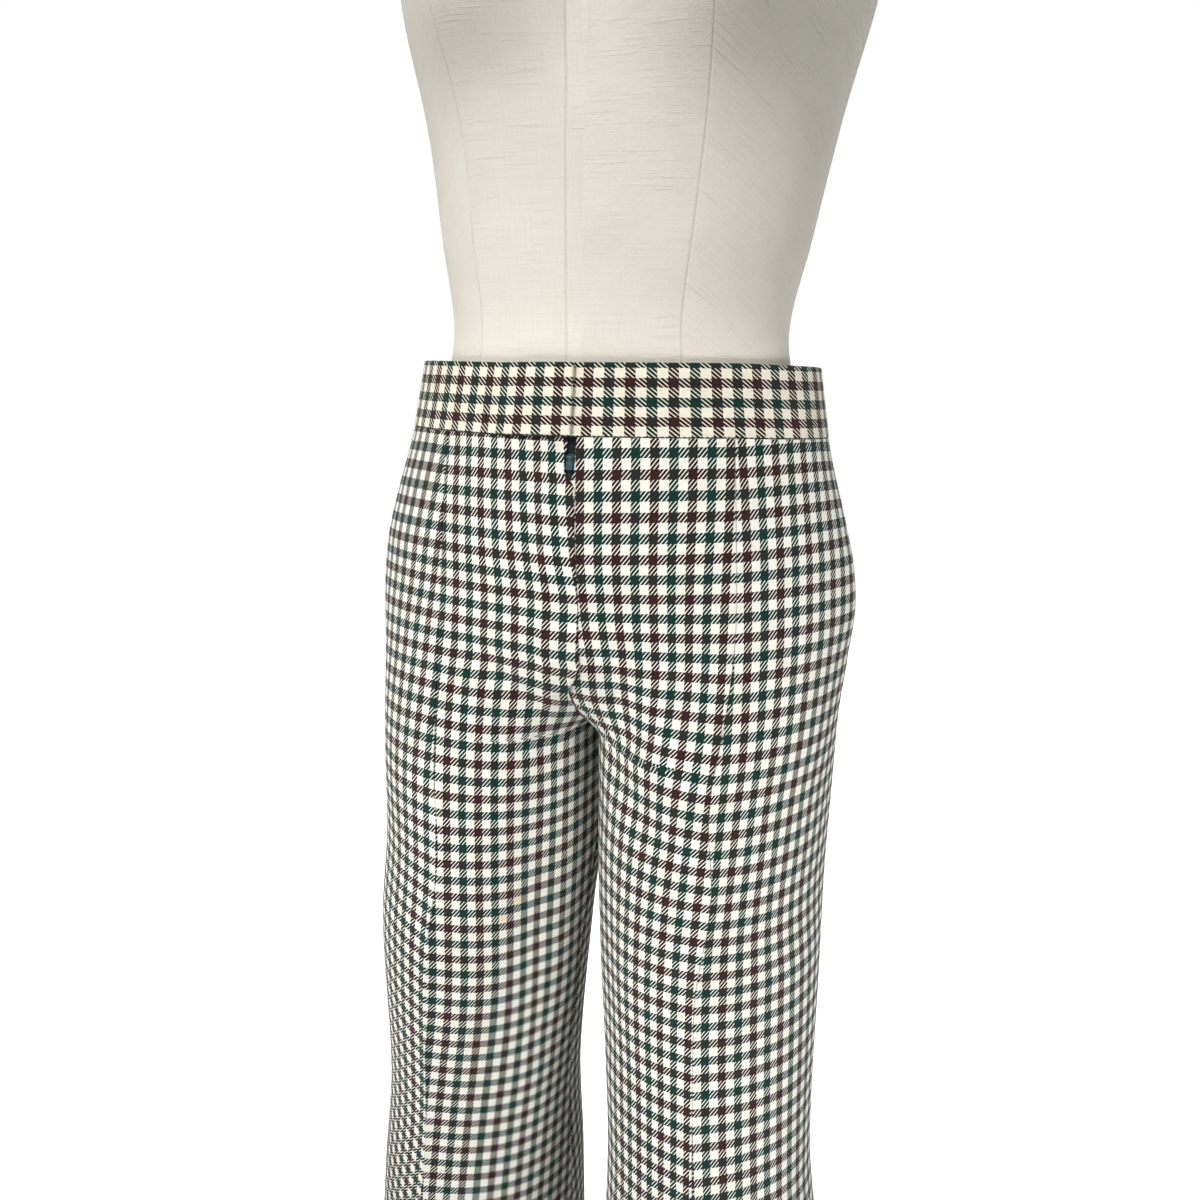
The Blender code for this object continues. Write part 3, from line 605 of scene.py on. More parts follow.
def cloth_point(side, angle, height, out=0.0):
    """The surface with its folds, moved out by a distance."""
    angle, height = np.broadcast_arrays(angle, height)
    points = cloth_raw(side, angle, height)
    # The fly and the inner thighs, close to the middle, stay smooth
    away = np.abs(points[..., 0] - middle_line(height))
    lift = fold_lift(side, angle, height) * ease((away - SMOOTH_TO) / SMOOTH_EASE) + out
    return points + normals(side, angle, height) * lift[..., None]


def row_heights():
    """Heights of a panel's rows, closest where the rise curves in to the crotch."""
    heights = [PANEL_TOP]
    for step in ROW_STEPS:
        if step.curved:
            turns = np.sin(np.linspace(0, math.pi / 2, step.rows + 1))[1:]
        else:
            turns = np.linspace(0, 1, step.rows + 1)[1:]
        heights.extend(heights[-1] + (step.height - heights[-1]) * turns)
    edge = EDGE_MARKS[1:-1]
    extra = np.concatenate([PANEL_TOP - edge, HEM + edge])
    return np.unique(np.concatenate([heights, extra]))[::-1]


def first_edge(side, panel, heights):
    """How far a panel's first edge lies from its seam line, in metres."""
    edge = np.full(heights.shape, SEAM_GAP / 2)
    if panel.name != "front_centre":
        return edge
    in_notch = ease((heights - FLY_NOTCH_END) / FLY_NOTCH_RAMP)
    if side > 0:
        return edge + FLY_NOTCH * in_notch
    lap = FLY_LAP + FLY_LAP_MORE * ease((FLY_LAP_FROM - heights) / FLY_LAP_OVER)
    lap = lap * ease((heights - FLY_END - FLY_RAMP) / (2 * FLY_RAMP))
    return edge - lap * (1 - in_notch) + (FLY_BACK - SEAM_GAP) * in_notch


def fly_lift(side, panel, angle, heights):
    """The right front is raised near its edge, where it laps over the left one."""
    if side > 0 or panel.name != "front_centre":
        return np.zeros(np.broadcast(angle, heights).shape)
    away = np.radians(angle) * GIRTH_RADIUS
    near = ease((FLY_FLAT + FLY_SLOPE - away) / FLY_SLOPE)
    lift = (WALL + SEAM_GAP) * near * ease((heights - FLY_END) / FLY_RAMP)
    facing = np.exp(-(((away - FACING_EDGE) / FACING_WIDTH) ** 2))
    return lift + FACING_DEPTH * facing * ease((heights - FACING_END) / FLY_RAMP)


def panel_span(side, panel, heights):
    """The angles of a panel's two edges at each height."""
    turn = 0.5
    first = cloth_raw(side, panel.start + turn, heights) - cloth_raw(side, panel.start, heights)
    last = cloth_raw(side, panel.end, heights) - cloth_raw(side, panel.end - turn, heights)
    first = np.linalg.norm(first, axis=-1) / turn
    last = np.linalg.norm(last, axis=-1) / turn
    low = panel.start + first_edge(side, panel, heights) / np.maximum(first, MIN_SPREAD)
    high = panel.end - SEAM_GAP / 2 / np.maximum(last, MIN_SPREAD)
    return low, high


# Cutting and meshing the cloth

Lay = namedtuple("Lay", "angle across width")


def lay_out(side, panel, heights, marks):
    """A panel's grid lines by their distance over the cloth from its first edge."""
    low, high = panel_span(side, panel, heights)
    fine = low[:, None] + (high - low)[:, None] * np.linspace(0, 1, LAY_POINTS)[None, :]
    along = running(steps_between(cloth_raw(side, fine, heights[:, None]), 1), 1)
    width = along[:, -1]
    across = np.stack([marks(w) for w in width])
    angle = np.stack([np.interp(across[r], along[r], fine[r]) for r in range(len(heights))])
    return Lay(angle, across, width)


def close_marks(columns):
    """Grid lines that stand close together at both edges of a panel."""
    def marks(width):
        inner = np.linspace(EDGE_MARKS[-1], width - EDGE_MARKS[-1], columns + 1)
        return np.concatenate([EDGE_MARKS[:-1], inner, width - EDGE_MARKS[-2::-1]])

    return marks


def even_marks(width):
    """A few evenly spaced grid lines, for working out the cut."""
    return np.linspace(0, width, CUT_COLUMNS + 1)


def corners_of(shape):
    """The vertex numbers of each cell of a grid: its first corner, the next row's, and so on."""
    index = np.arange(shape[0] * shape[1]).reshape(shape)
    cells = index[:-1, :-1], index[1:, :-1], index[1:, 1:], index[:-1, 1:]
    return [cell.ravel() for cell in cells]


def flat_cut(points, start):
    """Lays a grid of points flat with as little stretch as it can, as the cloth was cut."""
    a, b, c, d = corners_of(points.shape[:2])
    triangles = np.concatenate(
        [np.stack(t, 1) for t in ((a, b, c), (a, c, d), (a, b, d), (b, c, d))]
    )
    place, flat = points.reshape(-1, 3), start.reshape(-1, 2).copy()
    one, two = (place[triangles[:, k]] - place[triangles[:, 0]] for k in (1, 2))
    length = np.linalg.norm(one, axis=1)
    two_x = (two * one).sum(1) / length
    two_y = np.linalg.norm(np.cross(one, two), axis=1) / length
    u1, u2 = (flat[triangles[:, k]] - flat[triangles[:, 0]] for k in (1, 2))
    two_y = two_y * np.sign(u1[:, 0] * u2[:, 1] - u1[:, 1] * u2[:, 0])
    zero = np.zeros_like(length)
    own = np.stack([np.stack(p, 1) for p in ((zero, zero), (length, zero), (two_x, two_y))], 1)
    count = len(place)
    system = np.zeros((count, count))
    pairs = []
    for k in range(3):
        i, j, far = k, (k + 1) % 3, (k + 2) % 3
        p, q = own[:, i] - own[:, far], own[:, j] - own[:, far]
        area = np.abs(p[:, 0] * q[:, 1] - p[:, 1] * q[:, 0])
        weight = np.maximum((p * q).sum(1) / np.maximum(area, CUT_LEAST_AREA), CUT_LEAST_WEIGHT)
        for s, e in ((i, j), (j, i)):
            np.add.at(system, (triangles[:, s], triangles[:, s]), weight)
            np.add.at(system, (triangles[:, s], triangles[:, e]), -weight)
        pairs.append((i, j, weight[:, None]))
    system[0] = 0
    system[0, 0] = 1
    solve = np.linalg.inv(system)
    for _ in range(CUT_ROUNDS):
        cos_part, sin_part = np.zeros(len(triangles)), np.zeros(len(triangles))
        for i, j, weight in pairs:
            edge, now = own[:, i] - own[:, j], flat[triangles[:, i]] - flat[triangles[:, j]]
            cos_part += weight[:, 0] * (edge * now).sum(1)
            sin_part += weight[:, 0] * (edge[:, 0] * now[:, 1] - edge[:, 1] * now[:, 0])
        turn = np.arctan2(sin_part, cos_part)
        cosine, sine = np.cos(turn)[:, None], np.sin(turn)[:, None]
        right = np.zeros((count, 2))
        for i, j, weight in pairs:
            edge = own[:, i] - own[:, j]
            turned = edge * cosine + np.stack((-edge[:, 1], edge[:, 0]), 1) * sine
            np.add.at(right, triangles[:, i], weight * turned)
            np.add.at(right, triangles[:, j], -weight * turned)
        right[0] = flat[0]
        flat = solve @ right
    return flat.reshape(start.shape)


def run_at(values, heights, height):
    """A value at one height, between the rows that are nearest."""
    order = np.argsort(heights)
    return np.stack([np.interp(height, heights[order], v[order]) for v in values.T], -1)


def panel_cut(side, panel, heights):
    """The flat place of each point of a coarse grid: across the grain, and down along it."""
    lay = lay_out(side, panel, heights, even_marks)
    points = cloth_raw(side, lay.angle, heights[:, None])
    down = running(steps_between(points, 0)[:, CUT_COLUMNS // 2])
    start = np.stack(np.broadcast_arrays(lay.across, -down[:, None]), -1)
    flat = flat_cut(points, start)
    column = {"front_centre": -1, "front_side": 0}.get(panel.name)
    if column is None:
        share = (BACK_CREASE - panel.start) / (panel.end - panel.start)
        column = round(share * CUT_COLUMNS)
    grain = flat[:, column]
    high, low = run_at(grain, heights, GRAIN_HIGH), run_at(grain, heights, GRAIN_LOW)
    way = (high - low) / np.linalg.norm(high - low)
    turn = np.array(((way[1], -way[0]), (way[0], way[1])))
    flat = flat @ turn.T
    seam = {"front_centre": -1, "front_side": 0, "back": 0}[panel.name]
    flat[..., 1] -= run_at(flat[:, seam], heights, PANEL_TOP)[1]
    return flat


def fine_cut(flat, coarse_heights, heights, lay):
    """The flat places of a fine grid, from those of the coarse one."""
    order = np.argsort(coarse_heights)
    by_row = curve(coarse_heights[order], flat[order], heights)
    share = np.linspace(0, 1, CUT_COLUMNS + 1)
    at = lay.across / lay.width[:, None]
    return np.stack([curve(share, by_row[r], at[r]) for r in range(len(heights))])


def hung_check(side, panel, cut, heights, met_rows):
    """The cut places moved a little, to where the check hangs on the worn cloth."""
    cut = cut * np.array((side, 1.0))
    lay = through(CHECK_HANG[side], heights)
    creep = lay[:, 0]
    seam = -1 if panel.name == "front_centre" else 0
    column = {"front_centre": 1, "front_side": 4}.get(panel.name)
    if column is None:
        slant, fall, closed = 0 * creep, 0 * creep, 1 + 0 * creep
    else:
        slant, fall, closed = lay[:, column], lay[:, column + 1], lay[:, column + 2]
    away = cut[..., 0] - cut[:, seam, 0][:, None]
    down = np.diff(cut[:, seam, 1], prepend=cut[0, seam, 1])
    swing = np.cumsum(np.tan(np.radians(slant)) * down)
    across = cut[:, seam, 0][:, None] + away * closed[:, None] + swing[:, None]
    along = cut[..., 1] - creep[:, None] + away * np.tan(np.radians(fall))[:, None]
    if met_rows is None:
        along = along + ALONG[side]
    else:
        along = along + (met_rows - along[:, 0])[:, None]
    first = run_at(across[:, :1], heights, PHASE_HEIGHT)[0]
    return np.stack((across - first - side * ACROSS[panel.name, side], along), -1)


def rolled(distance, roll, sink):
    """How far an edge turns in, by the distance from it."""
    near = np.clip(1 - distance / roll, 0, 1)
    return -sink * (1 - np.sqrt(1 - near**2))


def finish_object(name, mesh, material, slot, *nodes):
    """An object that rides with the cloth's body and stands for some of the solids."""
    mesh.materials.append(material)
    made = bpy.data.objects.new(name, mesh)
    bpy.context.scene.collection.objects.link(made)
    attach(made, BODY_OF_CLOTH)
    if nodes:
        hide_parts(*nodes)
    return made


def finish_mesh(mesh, cut):
    """Gives a mesh its cut as a UV map, and its soft shading with crisp edges."""
    layer = mesh.uv_layers.new(name="cut")
    layer.data.foreach_set("uv", cut.astype(np.float32).ravel())
    mesh.shade_smooth()
    mesh.set_sharp_from_angle(angle=math.radians(SHARP))


def wall_mesh(name, outer, inner, cut, flip):
    """A closed cloth wall between two grids of points, with its cut as its UV map."""
    rows, columns = outer.shape[:2]
    a, b, c, d = corners_of((rows, columns))
    count = rows * columns
    front, back = np.stack((a, b, c, d), 1), np.stack((a, d, c, b), 1) + count
    index = np.arange(count).reshape(rows, columns)
    rim = np.concatenate([index[0, ::-1], index[1:, 0], index[-1, 1:], index[-2:0:-1, -1]])
    after = np.roll(rim, -1)
    side = np.stack((rim, rim + count, after + count, after), 1)
    faces = np.concatenate([front, back, side])
    if flip:
        faces = faces[:, ::-1]
    points = np.concatenate([outer.reshape(-1, 3), inner.reshape(-1, 3)])
    mesh = bpy.data.meshes.new(name)
    mesh.vertices.add(len(points))
    mesh.vertices.foreach_set("co", points.astype(np.float32).ravel())
    mesh.loops.add(faces.size)
    mesh.loops.foreach_set("vertex_index", faces.astype(np.int32).ravel())
    mesh.polygons.add(len(faces))
    mesh.polygons.foreach_set("loop_start", np.arange(0, faces.size, 4, dtype=np.int32))
    mesh.update(calc_edges=True)
    mesh.validate()
    finish_mesh(mesh, np.concatenate([cut.reshape(-1, 2), cut.reshape(-1, 2)])[faces.ravel()])
    return mesh


def flat_area(cut):
    """Area of a flat grid."""
    a, b, c, d = (cut.reshape(-1, 2)[k] for k in corners_of(cut.shape[:2]))
    one, two = c - a, d - b
    return float(np.abs(one[:, 0] * two[:, 1] - one[:, 1] * two[:, 0]).sum() / 2)


def declare_cut(piece, cut):
    """Says what the piece was cut to."""
    size = np.ptp(cut.reshape(-1, 2), axis=0)
    area = flat_area(cut)
    print(piece.name, "cut", np.round(size, 3), "area", round(area, 4))


def make_panel(side, panel, material, met_rows):
    """One cut panel of a leg, from the waistband seam to the hem, and its rows at its last edge."""
    heights = row_heights()
    lay = lay_out(side, panel, heights, close_marks(panel.columns))
    level = np.broadcast_to(heights[:, None], lay.angle.shape)
    coarse = np.unique(np.append(heights[::CUT_ROW_STEP], heights[-1]))[::-1]
    flat = fine_cut(panel_cut(side, panel, coarse), coarse, heights, lay)
    cut = hung_check(side, panel, flat, heights, met_rows)
    lift = fly_lift(side, panel, lay.angle, level)
    first, last = lay.across, lay.width[:, None] - lay.across
    is_fly = (panel.name == "front_centre") & (level > FLY_END)
    roll = np.where(
        is_fly, rolled(first, FOLD_ROLL, FOLD_SINK), rolled(first, SEAM_ROLL, SEAM_SINK)
    )
    roll = roll + rolled(last, SEAM_ROLL, SEAM_SINK)
    roll = roll + rolled(level - HEM, HEM_ROLL, HEM_SINK)
    if panel.name == "back":
        dart = ((lay.across - DART_SHARE * lay.width[:, None]) / DART_WIDTH) ** 2
        roll = roll - DART_DEPTH * np.exp(-dart) * ease((level - DART_END) / DART_RAMP)
    else:
        away = last if panel.name == "front_centre" else first
        down_leg = ease((PRESSED_TOP - level) / PRESSED_FADE)
        lift = lift + PRESSED_RISE * np.exp(-away / PRESSED_SPREAD) * down_leg
    hem = ease((HEM + HEM_DEPTH - level) / HEM_RAMP)
    outer = cloth_point(side, lay.angle, level, lift + roll)
    inner = cloth_point(side, lay.angle, level, lift - WALL * (1 + HEM_MORE * hem))
    name = panel.name + ("_left" if side > 0 else "_right")
    mesh = wall_mesh(name + "_cloth", outer, inner, cut, side < 0)
    piece = finish_object(name + "_cloth", mesh, material, "checked_wool", name)
    declare_cut(piece, flat)
    return cut[:, -1, 1]


def band_point(angle, heights, out):
    """A point of the waistband's ring, moved out by a distance."""
    def ring(turn, level):
        x, y = body_point(turn, level)
        return tilted(np.stack((x, y, level + 0 * x), -1))

    turn, rise = 0.5, 0.001
    along = ring(angle + turn, heights) - ring(angle - turn, heights)
    up = ring(angle, heights + rise) - ring(angle, heights - rise)
    return ring(angle, heights) + unit(np.cross(along, up)) * out[..., None]


def make_waistband(material):
    """A stiff strip round the waist, its right end lapping over its left at the front."""
    degrees = math.degrees(1 / BODY[0].half_width)
    hidden, ramp = BAND_LAP * degrees, BAND_RAMP * degrees
    edge = EDGE_MARKS[:-1]
    turns = np.linspace(EDGE_MARKS[-1] * degrees - hidden, 360 - EDGE_MARKS[-1] * degrees, BAND_COLUMNS + 1)
    turns = np.concatenate([edge * degrees - hidden, turns, 360 - edge[::-1] * degrees])
    rows = np.linspace(WAIST_TOP - EDGE_MARKS[-1], WAIST_TOP - BAND_HEIGHT + EDGE_MARKS[-1], BAND_ROWS + 1)
    rows = np.concatenate([WAIST_TOP - edge, rows, WAIST_TOP - BAND_HEIGHT + edge[::-1]])
    angle, heights = np.broadcast_arrays(turns[None, :], rows[:, None])
    over = ease((angle - (360 - hidden - ramp)) / ramp)
    out = BAND_PROUD + (BAND_WALL + SEAM_GAP + BAND_LIFT) * over
    middle = band_point(angle, heights, out)
    along = running(steps_between(middle, 1), 1)[len(rows) // 2][None, :] + 0 * angle
    total = float(along[0, -1])
    roll = rolled(WAIST_TOP - heights, SEAM_ROLL, BAND_ROLL)
    roll = roll + rolled(heights - (WAIST_TOP - BAND_HEIGHT), SEAM_ROLL, BAND_ROLL)
    roll = np.minimum(roll, rolled(total - along, FOLD_ROLL, FOLD_SINK))
    outer = band_point(angle, heights, out + roll)
    inner = band_point(angle, heights, out - BAND_WALL)
    # Turned cloth: its threads across run up the band
    down = WAIST_TOP - heights - BAND_PHASE_DOWN
    cut = np.stack((down, along - BAND_LAP - BAND_PHASE_ACROSS), -1)
    mesh = wall_mesh("waistband_cloth", outer, inner, cut, False)
    piece = finish_object("waistband_cloth", mesh, material, "waistband_wool", "waistband")
    declare_cut(piece, cut)


# Zip

def tape_point(across, heights, out):
    """A point behind the fly, across the centre front in metres."""
    angle = np.degrees(np.abs(across) / GIRTH_RADIUS)
    left = cloth_point(+1, angle, heights, out)
    right = cloth_point(-1, angle, heights, out)
    return np.where((across >= 0)[..., None], left, right)


def make_tape(material):
    """The zip's woven tape behind the fly."""
    across = np.linspace(-TAPE_HALF_WIDTH, TAPE_HALF_WIDTH, TAPE_COLUMNS + 1)[None, :]
    heights = np.linspace(PANEL_TOP + TAPE_UNDER_BAND, TAPE_LOW, TAPE_ROWS + 1)[:, None]
    across, heights = np.broadcast_arrays(across, heights)
    behind = -(WALL + SEAM_GAP) + 0 * across
    outer = tape_point(across, heights, behind)
    inner = tape_point(across, heights, behind - TAPE_WALL)
    # The cut's lengths are the worn tape's own, measured along its middle
    worn = (outer + inner) / 2
    widths, lengths = steps_between(worn, 1).mean(0), steps_between(worn, 0).mean(1)
    flat_across = running(widths) - widths.sum() / 2
    flat_up = lengths.sum() - running(lengths)
    cut = np.stack(np.broadcast_arrays(flat_across[None, :], flat_up[:, None]), -1)
    mesh = wall_mesh("zip_tape_cloth", outer, inner, cut, False)
    piece = finish_object("zip_tape_cloth", mesh, material, "zip_tape", "zip_tape")
    declare_cut(piece, cut)


def make_teeth(material):
    """The coil's turns, one small rounded loop after another on each side."""
    bpy.ops.object.select_all(action="DESELECT")
    bpy.ops.mesh.primitive_cube_add(size=1.0)
    tooth = bpy.context.active_object
    tooth.scale = TOOTH_SIZE
    bpy.ops.object.transform_apply(location=False, rotation=False, scale=True)
    bpy.ops.object.mode_set(mode="EDIT")
    bpy.ops.mesh.select_all(action="SELECT")
    bpy.ops.mesh.bevel(offset=TOOTH_BEVEL, segments=2, affect="EDGES", clamp_overlap=True)
    bpy.ops.object.mode_set(mode="OBJECT")
    tooth.data.shade_smooth()
    copies = []
    count = int((TEETH_HIGH - TEETH_LOW) / TEETH_PITCH)
    for k in range(count):
        height = TEETH_LOW + k * TEETH_PITCH
        for side in (-1, 1):
            level = height + (TEETH_PITCH / 2 if side > 0 else 0.0)
            place = tape_point(*(np.array(v) for v in (side * TEETH_ASIDE, level, -TEETH_BEHIND)))
            copy = bpy.data.objects.new("tooth", tooth.data.copy())
            copy.data.transform(Matrix.Translation(Vector(place)))
            bpy.context.scene.collection.objects.link(copy)
            copies.append(copy)
    bpy.data.objects.remove(tooth)
    for copy in copies:
        copy.select_set(True)
    bpy.context.view_layer.objects.active = copies[0]
    bpy.ops.object.join()
    teeth = bpy.context.active_object
    teeth.name = "zip_teeth"
    teeth.data.materials.clear()
    teeth.data.materials.append(material)
    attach(teeth, BODY_OF_CLOTH)


# Dress form

def form_points(turns, heights):
    """Points of the form's rings: its own sections, kept inside the cloth."""
    turns, heights = np.broadcast_arrays(turns, heights)
    row = through(FORM, heights)
    left = turns <= 180
    side, angle = np.where(left, 1, -1), np.where(left, turns, 360 - turns)
    x, y = rounded(row[..., 0], row[..., 1], row[..., 2], angle)
    bust = ((x - BUST_AWAY) ** 2 + (heights - BUST_HEIGHT) ** 2) / BUST_REACH**2
    y = y - BUST_DEPTH * np.exp(-bust) * (y < 0)
    own = tilted(np.stack((side * x + row[..., 3], y, heights + 0 * x), -1))
    inset = np.where(
        left[..., None],
        cloth_point(+1, angle, heights, -(WALL + FORM_CLEAR)),
        cloth_point(-1, angle, heights, -(WALL + FORM_CLEAR)),
    )
    too_wide = np.hypot(own[..., 0], own[..., 1]) > np.hypot(inset[..., 0], inset[..., 1])
    too_wide = too_wide & (heights < PANEL_TOP)
    return np.where(too_wide[..., None], inset, own)


def form_turns():
    """Angles all round the form, closest together beside its seams."""
    marks = [m for m in np.arange(0, 360, FORM_STEP) if far_from_seams(m)]
    for seam in FORM_SEAMS:
        for away in FORM_SEAM_MARKS:
            marks += [seam - away, seam + away]
    marks = np.unique(np.round(marks, 3))
    return marks[(marks >= 0) & (marks < 360)]


def far_from_seams(mark):
    """Whether an angle is past the lines that stand beside every seam."""
    return min(abs(mark - seam) for seam in FORM_SEAMS) > FORM_SEAM_MARKS[-1]


def make_form(material):
    """The limbless dress form under its linen cover, with sewn seams."""
    low = np.linspace(FORM_BOTTOM + FORM_CURVE, PANEL_TOP, FORM_ROWS_LOW + 1)
    high = np.linspace(PANEL_TOP, FORM_NECK, FORM_ROWS_HIGH + 1)[1:]
    turns = form_turns()
    ring = form_points(turns[None, :], np.concatenate([low, high])[:, None])
    base = []
    for turn in np.linspace(0, math.pi / 2, FORM_CURVE_ROWS + 1)[:-1]:
        curved = ring[0] * (1 - FORM_CURVE_IN * (1 - math.sin(turn)))
        curved[:, 2] = ring[0][:, 2] - FORM_CURVE * math.cos(turn)
        base.append(curved)
    base[0][:, 2] = FORM_BOTTOM
    points = np.concatenate([np.stack(base), ring])
    points[-1, :, 2] = FORM_NECK
    # Grooves along the seams, towards the form's axis
    inward = points.mean(1, keepdims=True) - points
    inward[..., 2] = 0
    radius = np.linalg.norm(inward, axis=-1)
    sunk = np.zeros(points.shape[:2])
    for seam in FORM_SEAMS:
        away = np.radians(np.abs(turns - seam))[None, :] * radius
        sunk = np.maximum(sunk, np.exp(-((away / FORM_SEAM_WIDTH) ** 2)))
    points = points + inward / radius[..., None] * (FORM_SEAM_DEPTH * sunk)[..., None]
    rows, columns = points.shape[:2]
    index = np.arange(rows * columns).reshape(rows, columns)
    after = np.roll(index, -1, axis=1)
    faces = np.stack((index[:-1], after[:-1], after[1:], index[1:]), -1).reshape(-1, 4).tolist()
    faces += [index[0, ::-1].tolist(), index[-1].tolist()]
    mesh = bpy.data.meshes.new("form_cover")
    mesh.from_pydata(points.reshape(-1, 3).tolist(), [], faces)
    mesh.validate()
    # The grooves' depth is also kept as a mask, which paints shade into the linen along them
    mask = mesh.attributes.new("seam", "FLOAT", "POINT")
    mask.data.foreach_set("value", sunk.astype(np.float32).ravel())
    finish_mesh(mesh, linen_cut(points, turns))
    made = finish_object("form_cover", mesh, material, "form_linen", "form_body")


def linen_cut(points, turns):
    """The linen's own places on each piece of the cover, turned by the piece's slant."""
    rows, columns = points.shape[:2]
    around = running(steps_between(np.concatenate([points, points[:, :1]], 1), 1), 1)
    up = running(steps_between(points, 0).mean(1))
    seams = np.searchsorted(turns, np.array(FORM_SEAMS) - 0.01)
    cell = np.arange(columns)
    piece = np.searchsorted(seams, cell, side="right") - 1
    slant = np.radians(np.array(FORM_SLANTS))[piece]
    first = around[:, seams[piece]]
    flat = np.zeros((rows - 1, columns, 4, 2))
    for k, (down, right) in enumerate(((0, 0), (0, 1), (1, 1), (1, 0))):
        level = slice(down, rows - 1 + down)
        x = around[level, right:columns + right] - first[level]
        y = np.broadcast_to(up[level, None], x.shape)
        flat[..., k, 0] = x * np.cos(slant) - y * np.sin(slant) + piece
        flat[..., k, 1] = x * np.sin(slant) + y * np.cos(slant)
    flat = flat.reshape(-1, 2)
    ends = points[[0, -1]][:, :, :2]
    return np.concatenate([flat, ends[0][::-1], ends[1]])


# Materials

class Value:
    """A socket of a material, on which arithmetic adds Math nodes."""

    def __init__(self, maker, socket):
        self.maker = maker
        self.socket = socket

    def math(self, operation, *values):
        return self.maker.node("ShaderNodeMath", {"operation": operation}, dict(enumerate(values)))

    def __add__(self, other):
        return self.math("ADD", self, other)

    def __sub__(self, other):
        return self.math("SUBTRACT", self, other)

    def __rsub__(self, other):
        return self.math("SUBTRACT", other, self)

    def __mul__(self, other):
        return self.math("MULTIPLY", self, other)

    def __truediv__(self, other):
        return self.math("DIVIDE", self, other)

    __radd__ = __add__

    def fraction(self):
        return self.math("FRACT", self)

    def size(self):
        return self.math("ABSOLUTE", self)

    def smaller(self, other):
        return self.math("MINIMUM", self, other)

    def larger(self, other):
        return self.math("MAXIMUM", self, other)

    def step(self, low, high):
        """A smooth step from 0 at low to 1 at high."""
        turned = low > high
        return self.maker.node(
            "ShaderNodeMapRange",
            {"interpolation_type": "SMOOTHSTEP", "clamp": True},
            {
                "Value": self,
                "From Min": min(low, high),
                "From Max": max(low, high),
                "To Min": 1.0 if turned else 0.0,
                "To Max": 0.0 if turned else 1.0,
            },
        )


class Finish:
    """One material and the nodes that make it."""

    def __init__(self, name, **constants):
        self.material = bpy.data.materials.new(name)
        self.material.use_nodes = True
        self.tree = self.material.node_tree
        self.shader = self.tree.nodes["Principled BSDF"]
        for socket, value in constants.items():
            self.shader.inputs[socket.replace("_", " ")].default_value = value

    def node(self, kind, settings=None, inputs=None, output=0):
        """Adds a node, sets it up, feeds its sockets and gives back one of its outputs."""
        made = self.tree.nodes.new(kind)
        for key, value in (settings or {}).items():
            setattr(made, key, value)
        for key, value in (inputs or {}).items():
            self.feed(made.inputs[key], value)
        return Value(self, made.outputs[output])

    def feed(self, socket, value):
        if isinstance(value, Value):
            self.tree.links.new(value.socket, socket)
        elif isinstance(value, tuple) and len(value) == 3 and socket.type == "RGBA":
            socket.default_value = (*value, 1.0)
        else:
            socket.default_value = value

    def mix(self, share, one, two):
        """A colour between two."""
        settings = {"data_type": "RGBA", "clamp_factor": True}
        return self.node("ShaderNodeMix", settings, {0: share, 6: one, 7: two}, 2)

    def cut_places(self):
        """Across and along the grain, in metres."""
        uv = self.node("ShaderNodeUVMap", {"uv_map": "cut"})
        across = self.node("ShaderNodeSeparateXYZ", None, {0: uv})
        return uv, across, Value(self, across.socket.node.outputs[1])

    def place(self):
        """The place on the object."""
        return self.node("ShaderNodeTexCoord", output=3)

    def vector(self, x, y, z=0.0):
        return self.node("ShaderNodeCombineXYZ", None, {0: x, 1: y, 2: z})

    def noise(self, vector, scale, detail=2.0, roughness=0.5):
        inputs = {"Vector": vector, "Scale": scale, "Detail": detail, "Roughness": roughness}
        return self.node("ShaderNodeTexNoise", None, inputs)

    def set(self, **values):
        for socket, value in values.items():
            self.feed(self.shader.inputs[socket.replace("_", " ")], value)

    def shaded(self, colour, share):
        """A colour made darker by a share."""
        return self.node("ShaderNodeVectorMath", {"operation": "SCALE"}, {0: colour, "Scale": share})

    def bump(self, height, distance, strength=1.0):
        """Raises the surface by a height in metres times the distance."""
        inputs = {"Height": height, "Distance": distance, "Strength": strength}
        self.set(Normal=self.node("ShaderNodeBump", None, inputs))
        return self.material


def stripes(finish, place, pitch, wobble):
    """Masks of the burgundy and the green stripes across a direction."""
    turn = ((place + wobble) / (2 * pitch)).fraction()
    half, soft = STRIPE_SHARE / 4, STRIPE_SOFT
    burgundy = (turn - 0.5).size().step(0.5 - half - soft, 0.5 - half + soft)
    green = (turn - 0.5).size().step(half + soft, half - soft)
    return burgundy, green


